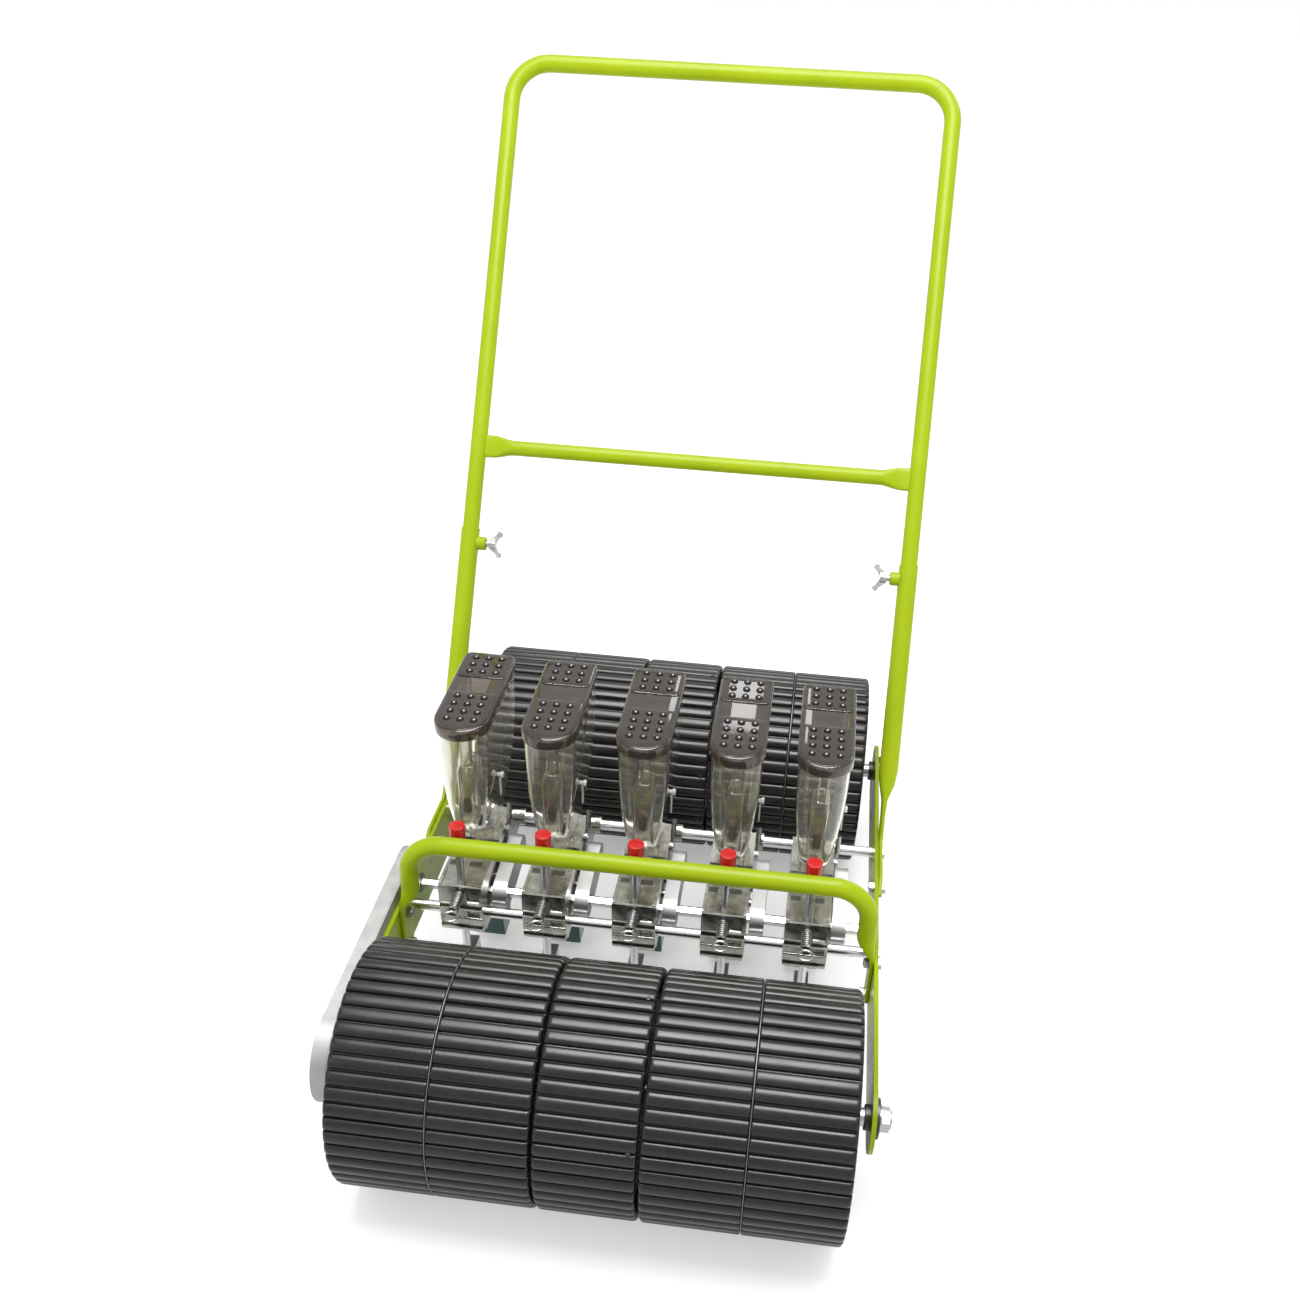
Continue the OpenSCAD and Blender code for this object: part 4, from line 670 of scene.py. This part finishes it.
def wing_boss(side):
    """The threaded boss welded to the inside of a leg, a short round bar along X."""
    middle = handle_foot + handle_up * (LEG_TOP - 0.0196)
    ends = np.array((LEG_X - LEG_R - 0.011, LEG_X - LEG_R + 0.002))
    angle = turn_angles(TUBE_SIDES)[None, :, None]
    r = np.array((0.0075, 0.009, 0.009))[:, None, None]
    x = np.array((ends[0], ends[0] + 0.0012, ends[1]))[:, None, None] * side
    around = np.cos(angle) * handle_up + np.sin(angle) * np.cross(X, handle_up)
    return closed_sweep(middle + x * X + r * around)

for side, name in ((-1, "left"), (1, "right")):
    build("leg_tube_" + name, [leg(side), wing_boss(side)], "frame", paint,
          ("handle_leg_" + name,), flat_angle=40)

# %% [markdown]
# The front carry bar is a wide U whose feet are pressed flat and bolted inside the plates.
# CARRY_SEEN is the radius that the photograph shows, a millimetre less than the CAD tube's.

# %% Front carry bar
PLATE_IN, CARRY_Y, CARRY_Z, CARRY_R, CARRY_BEND = 0.2875, 0.212, 0.2690, 0.0125, 0.045
CARRY_SEEN = 0.0113
CARRY_X = PLATE_IN - CARRY_R
FOOT_LOW = axle_place[2] - 0.036
CARRY_FLAT_TOP, CARRY_ROUND = axle_place[2] + 0.040, axle_place[2] + 0.062
path, s = rounded_path([(-CARRY_X, FOOT_LOW), (-CARRY_X, CARRY_Z), (CARRY_X, CARRY_Z), (CARRY_X, FOOT_LOW)],
                       [CARRY_BEND, CARRY_BEND])
fine_foot = np.concatenate((np.linspace(0, 0.012, 10), np.linspace(0.070, 0.105, 14)))
stations = np.unique(np.round(np.concatenate((s, fine_foot, s[-1] - fine_foot)), 6))
path = np.column_stack([np.interp(stations, s, path[:, k]) for k in (0, 1)])
from_foot = np.minimum(stations, stations[-1] - stations)
full = smooth_step(CARRY_FLAT_TOP - FOOT_LOW - 0.004, CARRY_ROUND - FOOT_LOW + 0.004, from_foot)
toe = np.sqrt(np.clip(1 - ((0.010 - from_foot) / 0.010) ** 2 * (from_foot < 0.010), 0.1, 1))
half_t = BLADE_T / 2 + (CARRY_SEEN - BLADE_T / 2) * full
half_w = (BLADE_W / 2 + (CARRY_SEEN - BLADE_W / 2) * full) * toe
out_shift = np.sign(path[:, 0]) * (CARRY_R - BLADE_T / 2) * (1 - full)
path = path + np.column_stack((out_shift, 0 * out_shift))
carry_origin = np.array((axle_place[0], axle_place[1] + CARRY_Y, 0))
bar = swept_tube(path, carry_origin, X, Z, half_t, half_w, 6 - 4 * full)
build("carry_tube", [bar], "frame", paint, ("front_carry_bar",), flat_angle=40)

# %% [markdown]
# ## Seed hoppers
# A hopper is a moulded clear bin. In plan it is a half round at the front, straight sides and
# soft back corners, and every number of that outline changes with height: the front swings
# back and narrows to a tip above the seed housing. The wall is an outer and an inner skin
# joined at the rim and at the outlet. Inside stands a small arched chamber; a thin dark sheet
# on its front is painted shade where the inside of the chamber looks dark.

# %% Hopper outline
FRONT_STEPS, CORNER_STEPS = 24, 8

def plan_outline(front, back, half_front, half_back, corner):
    """Outlines for many heights at once. Row i runs from the left side round the front half
    circle of radius half_front[i], up the right side and round two corners of radius corner."""
    a = np.linspace(math.pi, 2 * math.pi, FRONT_STEPS)[None, :]
    columns = np.broadcast_arrays(front, back, half_front, half_back, corner)
    front, back, half_front, half_back, corner = (np.atleast_1d(v)[:, None] * 1.0 for v in columns)
    fx, fy = half_front * np.cos(a), front + half_front * (1 + np.sin(a))
    b = np.linspace(0, math.pi / 2, CORNER_STEPS)[None, :]
    rx = half_back - corner + corner * np.cos(b)
    ry = back - corner + corner * np.sin(b)
    return np.concatenate((fx, rx, -rx[:, ::-1]), axis=1), np.concatenate((fy, ry, ry[:, ::-1]), axis=1)

#               z    front back  half_front half_back corner
HOPPER_KEYS = np.array((
    (0.399, 0.2610, 0.432, 0.0300, 0.0300, 0.010),
    (0.352, 0.2612, 0.432, 0.0298, 0.0298, 0.010),
    (0.326, 0.2618, 0.430, 0.0288, 0.0292, 0.010),
    (0.304, 0.2628, 0.426, 0.0270, 0.0284, 0.010),
    (0.285, 0.2640, 0.420, 0.0246, 0.0272, 0.010),
    (0.268, 0.2660, 0.412, 0.0220, 0.0258, 0.010),
    (0.252, 0.2700, 0.404, 0.0196, 0.0242, 0.010),
    (0.236, 0.2810, 0.396, 0.0180, 0.0224, 0.009),
    (0.220, 0.3000, 0.388, 0.0168, 0.0200, 0.008),
    (0.205, 0.3230, 0.381, 0.0156, 0.0180, 0.007),
    (0.196, 0.3320, 0.378, 0.0150, 0.0170, 0.006)))
HOPPER_WALL = 0.0022

def smooth_keys(keys, count):
    """Keys sampled at count heights, then averaged with their neighbours three times."""
    at, key_at = np.linspace(0, 1, count), np.linspace(0, 1, len(keys))
    rows = np.column_stack([np.interp(at, key_at, column) for column in keys.T])
    for _ in range(3):
        rows[1:-1] = 0.25 * rows[:-2] + 0.5 * rows[1:-1] + 0.25 * rows[2:]
    return rows

def ring_stack(rows, shift):
    """One ring of points for each row of (z, front, back, half_front, half_back, corner)."""
    x, y = plan_outline(*rows[:, 1:].T)
    z = np.broadcast_to(rows[:, :1], x.shape)
    return np.stack((x + shift[0], y + shift[1], z), axis=-1)

def inset_rows(rows, d):
    """The same outline, d further in on every side."""
    moved = rows.copy()
    moved[:, 1] += d
    moved[:, 2:6] -= d
    moved[:, 5] = np.maximum(moved[:, 5], 0.001)
    return moved

def hopper_shell(shift):
    """Outer skin down, inner skin up, with a rounded rim between them."""
    rows = smooth_keys(HOPPER_KEYS, 40)
    inner = inset_rows(rows, HOPPER_WALL)[::-1]
    rim = inset_rows(rows[:1], HOPPER_WALL / 2)
    rim[0, 0] += 0.0001
    rows[0, 0] -= 0.0006
    inner[-1, 0] -= 0.0006
    return ring_surface(ring_stack(np.vstack((rows, inner, rim)), shift))

CHAMBER_FRONT, CHAMBER_HALF, CHAMBER_LOW, CHAMBER_TOP = 0.2835, 0.0112, 0.246, 0.331
CLEAR_WALL = 0.0013

def chamber(shift, inset=0.0):
    """An arched box: a straight-sided arch swept from its front to its back, inset on all sides."""
    a = np.linspace(0, math.pi, 22)
    half, low, spring = CHAMBER_HALF - inset, CHAMBER_LOW + inset, CHAMBER_TOP - CHAMBER_HALF
    x = np.concatenate(((half,), half * np.cos(a), (-half,)))
    z = np.concatenate(((low,), spring + half * np.sin(a), (low,)))
    middle_z = (CHAMBER_LOW + CHAMBER_TOP) / 2
    rings = []
    for ahead, pull in ((inset, 0.0022), (inset + 0.0005, 0.001), (inset + 0.0016, 0.0),
                        (0.038 - inset, 0.0), (0.039 - inset, 0.0012)):
        rx = x * (1 - pull / half)
        ry = np.full_like(x, CHAMBER_FRONT + ahead + shift[1])
        rz = middle_z + (z - middle_z) * (1 - pull / (CHAMBER_TOP - middle_z))
        rings.append(np.stack((rx + shift[0], ry, rz), axis=-1))
    return closed_sweep(np.array(rings))

def soft_block(lo, hi, edge, power=5.0):
    """A block from lo to hi with rounded edges: rings of a super-ellipse in x and z along y."""
    lo, hi = np.array(lo, float), np.array(hi, float)
    c, s = super_ellipse(turn_angles(40), power)
    mid, half = (lo + hi) / 2, (hi - lo) / 2
    quarter = np.linspace(0, math.pi / 2, 4)
    e, d = edge * (1 - np.cos(quarter)), edge * (1 - np.sin(quarter))
    ys = np.concatenate((lo[1] + e, hi[1] - e[::-1]))
    ins = np.concatenate((d, d[::-1]))
    rings = [np.stack((mid[0] + (half[0] - i) * c, np.full_like(c, y), mid[2] + (half[2] - i) * s), -1)
             for y, i in zip(ys, ins)]
    return closed_sweep(np.array(rings))

# %% Hoppers
pin_white = finish("white_pin", (0.80, 0.81, 0.80), rough=(0.3, 0.4), tone=0.03)
# Near-black for painted shade: the dark inside of each chamber and the pockets in the body tops
painted_shade = finish("dark_window", (0.050, 0.050, 0.034), rough=(0.3, 0.4), tone=0.25,
                     patch=(120, 120, 120))
LID_PIN, PIN_HALF, PIN_R, EAR_HALF_T = (0.4391, 0.387), 0.011, 0.002, 0.0015
for k in UNITS:
    shift = (unit_x[k], axle_place[1])
    body = body_of(f"unit_{k}_hopper")
    pin = np.array((shift[0], shift[1] + LID_PIN[0], LID_PIN[1]))
    ears = [soft_block((pin[0] + x - EAR_HALF_T, shift[1] + 0.4305, pin[2] - 0.004),
                       (pin[0] + x + EAR_HALF_T, pin[1] + 0.003, pin[2] + 0.004), 0.0008)
            for x in (-PIN_HALF, PIN_HALF)]
    hinge_pin = round_pin(pin - X * PIN_HALF, pin + X * PIN_HALF, PIN_R)
    build(f"hopper_shell_{k}", [hopper_shell(shift)] + ears + [hinge_pin], body,
          hopper_clear, (f"unit_{k}_hopper",), flat_angle=50)
    low = np.array((shift[0] - 0.0045, shift[1] + CHAMBER_FRONT + 0.002, CHAMBER_TOP + 0.0006))
    high = np.array((shift[0] + 0.0085, shift[1] + CHAMBER_FRONT + 0.012, 0.379))
    channel = hollow(soft_block(low, high, 0.0010, 9.0),
                     soft_block(low + CLEAR_WALL, high - CLEAR_WALL, 0.0005, 9.0))
    build(f"hopper_chamber_{k}", [hollow(chamber(shift), chamber(shift, CLEAR_WALL)), channel], body,
          hopper_clear, flat_angle=50)
    # A thin dark sheet on the chamber's front: painted shade for its dark inside
    shade_sheet = soft_block((shift[0] - 0.0040, shift[1] + CHAMBER_FRONT - 0.0011, 0.266),
                        (shift[0] + 0.0060, shift[1] + CHAMBER_FRONT - 0.0003, 0.289), 0.0003)
    build(f"chamber_shade_sheet_{k}", [shade_sheet], body, painted_shade, flat_angle=50)
    place = np.array((shift[0], shift[1] + 0.333, 0.291))
    strap = soft_block(place + (0.0288, -0.003, -0.031), place + (0.0305, 0.003, -0.004), 0.0004, 9.0)
    build(f"hopper_pin_{k}", [round_pin(place + X * 0.0262, place + X * 0.0300, 0.0026),
                              round_pin(place + X * 0.0300, place + X * 0.0345, 0.0042, 0.0014), strap],
          body, pin_white, flat_angle=50)

# %% [markdown]
# ## Lids
# The lid is a dark smoke moulding with a skirt. A raised plate at its front carries twelve
# bumps for grip and a second one at its back has nine; the domes are thick, so they look
# darker. Lid, bumps and hinge knuckle turn together about the pin behind the hopper.

# %% Lids
LID_LOW, LID_TOP, LID_WALL = 0.387, 0.4023, 0.002
LID_FRONT, LID_BACK, LID_HALF = 0.2584, 0.4346, 0.0326

def stepped(shift, z, inset, front, back, half, corner, least):
    """A closed stack of one outline with a half round front, further in by inset at height z."""
    inset = np.array(inset)
    rows = np.column_stack((z, front + inset, back - inset, half - inset, half - inset,
                            np.maximum(corner - inset, least)))
    return closed_sweep(ring_stack(rows, shift))

def lid_cap(shift):
    """Ceiling, inner skirt, rounded lip, outer skirt and rounded top edge, ring by ring."""
    w = LID_WALL
    inset = (0.02, w + 0.002, w, w, w * 0.5, 0.0002, 0, 0, 0.0003, 0.0011, 0.0024, 0.02)
    z = (LID_TOP - 0.003, LID_TOP - 0.003, LID_TOP - 0.0045, LID_LOW + 0.0004, LID_LOW, LID_LOW + 0.0006,
         LID_LOW + 0.0015, LID_TOP - 0.0024, LID_TOP - 0.0011, LID_TOP - 0.0003, LID_TOP, LID_TOP)
    return stepped(shift, z, inset, LID_FRONT, LID_BACK, LID_HALF, 0.0125, 0.001)

# A raised plate's rings, from its foot over the rounded edge to its top: how far in, how high
PLATE_RISE = 0.0014
plate_inset = np.array((0, 0, 0.0002, 0.0008, 0.010))
plate_z = LID_TOP + np.array((-0.0004, PLATE_RISE - 0.0006, PLATE_RISE - 0.0002, PLATE_RISE, PLATE_RISE))

def rear_plate(shift, front, back, half):
    """A low raised plate whose outline is a super-ellipse of power 9, so its corners are round."""
    c, s = super_ellipse(turn_angles(96), 9)
    inset = plate_inset[:, None]
    x = shift[0] + (half - inset) * c
    y = shift[1] + (front + back) / 2 + ((back - front) / 2 - inset) * s
    return closed_sweep(np.stack((x, y, plate_z[:, None] + 0 * x), axis=-1))

def skirt_notch_shade(shift):
    """A thin dark band let into the front of the skirt, painted shade of the notch there; it follows the
    skirt's half circle.
    """
    a = np.radians(np.linspace(-14.5, 14.5, 13))[:, None]
    r = LID_HALF + np.array((0.0003, 0.0003, -0.0008, -0.0008))
    z = LID_LOW + np.array((0.0046, 0.0086, 0.0086, 0.0046))
    x, y = shift[0] + r * np.sin(a), shift[1] + LID_FRONT + LID_HALF - r * np.cos(a)
    return closed_sweep(np.stack((x, y, z + 0 * x), axis=-1))

def bumps(places, radius, height, z):
    """Low domes: radius times cos(p) out and height times sin(p) up, for p from 0 to 90 degrees."""
    a, p = turn_angles(16), np.linspace(0, math.pi / 2 * 0.94, 6)
    out = radius * np.concatenate(((0.985,), np.cos(p)))[:, None]
    rise = np.concatenate(((-0.0006,), height * np.sin(p)))[:, None]
    dome = np.stack((out * np.cos(a), out * np.sin(a), rise + 0 * a), -1)
    return [closed_sweep(dome + (x, y, z)) for x, y in places]

BUMP_STEP, BUMP_R, BUMP_H, KNUCKLE_HALF = 0.0163, 0.0047, 0.0036, 0.009
FIRST_BUMP, LAST_BUMP, REAR_PLATE_L, PLATE_EDGE = 0.024, 0.014, 0.059, 0.0022
for k in UNITS:
    shift = (unit_x[k], axle_place[1])
    split = LID_FRONT + FIRST_BUMP + 3 * BUMP_STEP + 0.0105
    half = LID_HALF - PLATE_EDGE
    front_plate = stepped(shift, plate_z, plate_inset, LID_FRONT + PLATE_EDGE, split, half, 0.004, 0.0008)
    parts = [lid_cap(shift), front_plate,
             rear_plate(shift, LID_BACK - REAR_PLATE_L, LID_BACK - 0.0025, half)]
    bump_ys = [LID_FRONT + FIRST_BUMP + i * BUMP_STEP for i in range(4)]
    bump_ys += [LID_BACK - LAST_BUMP - i * BUMP_STEP for i in range(3)]
    places = [(shift[0] + j * BUMP_STEP, shift[1] + y) for y in bump_ys for j in (-1, 0, 1)]
    domes = bumps(places, BUMP_R, BUMP_H, LID_TOP + PLATE_RISE)
    build(f"lid_bumps_{k}", domes, f"lid_{k}", lid_dome, flat_angle=60)
    pin = (shift[0], shift[1] + LID_PIN[0], LID_PIN[1])
    ends = pin[0] - KNUCKLE_HALF, pin[0] + KNUCKLE_HALF
    knuckle = plain_ring(*ends, PIN_R + 0.00005, 0.0036, pin, sides=32)
    web = soft_block((ends[0], shift[1] + 0.4338, pin[2] + 0.0002),
                     (ends[1], pin[1] - 0.0021, pin[2] + 0.0032), 0.0004, 8.0)
    build(f"lid_cap_{k}", parts + [knuckle, web], f"lid_{k}", lid_smoke, (f"unit_{k}_lid",),
          flat_angle=45)
    # A black band in the skirt's front: painted shade of its notch
    build(f"lid_notch_shade_{k}", [skirt_notch_shade(shift)], f"lid_{k}", black, flat_angle=45)

# %% [markdown]
# ## Edges and mouldings on the unit bodies
# Each body has a rail along both sides of its flat top, two pockets behind the opener rod, and
# two half round mouldings with a thin bead between them across its front. The pockets are thin
# dark blocks on the flat top, painted shade where they look dark.

# %% Body mouldings
BLOCK_FRONT, BLOCK_HALF, BLOCK_TOP = 0.226, 0.027, 0.196
# Height, radius and how far the axis lies behind the front: moulding, bead, moulding
MOULDINGS = ((0.162, 0.0090, 0.0066), (0.1445, 0.0018, 0.0004), (0.130, 0.0080, 0.0058))
# Where the two painted shade blocks of the pockets run across the body, from its middle
SLOT_SHADE_SPANS = ((-0.0230, -0.0110), (0.0020, 0.0180))
for k in UNITS:
    x, front = unit_x[k], axle_place[1] + BLOCK_FRONT
    reach = BLOCK_HALF - 0.0006
    parts = [round_pin((x - reach, front + sunk, z), (x + reach, front + sunk, z), r, 0.0008)
             for z, r, sunk in MOULDINGS]
    for s in (-1, 1):
        mid = x + s * (BLOCK_HALF - 0.0023)
        parts.append(soft_block((mid - 0.0019, front + 0.0010, BLOCK_TOP - 0.001),
                                (mid + 0.0019, front + 0.0330, BLOCK_TOP + 0.0016), 0.0006, 9.0))
    build(f"body_mouldings_{k}", parts, body_of("unit_frames"), body_alu, flat_angle=40)
    # Thin dark blocks on the top: painted shade of the two pockets behind the rod
    slot_shades = [soft_block((x + a, front + 0.0385, BLOCK_TOP - 0.0005),
                        (x + b, front + 0.0480, BLOCK_TOP + 0.0003), 0.0003, 9.0) for a, b in SLOT_SHADE_SPANS]
    build(f"body_slot_shades_{k}", slot_shades, body_of("unit_frames"), painted_shade, flat_angle=40)

# %% [markdown]
# ## Springs, caps and rods
# A clamp spring is a round wire on a helix; its ends are left round, not ground flat. The
# opener's rod keeps its steel, and its moulded cap gets twelve shallow flutes for the fingers.

# %% Clamp springs
SPRING_R, WIRE_R, SPRING_COILS = 0.0058, 0.0007, 8
SCREW_Z, SPRING_L = 0.184, 0.030
wire_paths = []
for k in UNITS:
    mid = np.array((unit_x[k], 0, SCREW_Z))
    high = axle_place[1] + BLOCK_FRONT - 0.0003 - WIRE_R
    low = high - SPRING_L + 0.0006 + 2 * WIRE_R
    t = np.linspace(0, 1, 32 * SPRING_COILS + 1)
    turn = 2 * math.pi * SPRING_COILS * t
    centre = mid + np.stack((SPRING_R * np.cos(turn), low + (high - low) * t, SPRING_R * np.sin(turn)), -1)
    out = np.stack((np.cos(turn), 0 * t, np.sin(turn)), -1)
    ahead = np.gradient(centre, axis=0)
    ahead /= np.linalg.norm(ahead, axis=1)[:, None]
    side = np.cross(ahead, out)
    a = turn_angles(8)[None, :, None]
    round_wire = np.cos(a) * out[:, None] + np.sin(a) * side[:, None]
    wire_paths.append(closed_sweep(centre[:, None] + WIRE_R * round_wire))
build("clamp_spring_wires", wire_paths, body_of("clamp_springs"), zinc, ("clamp_springs",))

# %% Opener caps
def fluted_cap(place, radius, low, high, flutes=12):
    """A cap turned about a vertical axis; its radius dips a little flutes times round."""
    a = turn_angles(flutes * 8)[None, :]
    z = np.array((0, 0, 0.0006, 0.0022, 0.5, 0.84, 0.92, 0.972, 0.995, 1.0, 1.0))
    z = np.where(z > 0.1, low + (high - low) * z, low + z)
    r = np.array((0.55, 0.96, 0.985, 1, 1, 1, 0.995, 0.985, 0.965, 0.94, 0.2)) * radius
    dip = np.array((0, 0, 0.4, 1, 1, 1, 0.7, 0.3, 0, 0, 0))[:, None] * 0.0004
    rr = r[:, None] - dip * (0.5 - 0.5 * np.cos(flutes * a))
    return closed_sweep(np.stack((place[0] + rr * np.cos(a), place[1] + rr * np.sin(a),
                                  z[:, None] + 0 * rr), -1))

CAP_LOW, CAP_HIGH, CAP_R, ROD_Y = 0.262, 0.282, 0.009, 0.237
for k in UNITS:
    place = (unit_x[k], axle_place[1] + ROD_Y)
    softened(f"unit_{k}_opener", 0.0005)
    build(f"opener_cap_{k}", [fluted_cap(place, CAP_R + 0.0007, CAP_LOW - 0.0003, CAP_HIGH + 0.0003)],
          f"opener_{k}", red, flat_angle=40)
    softened(f"unit_{k}_clamp_screw", 0.0004)
    softened(f"unit_{k}_lever", 0.0005)
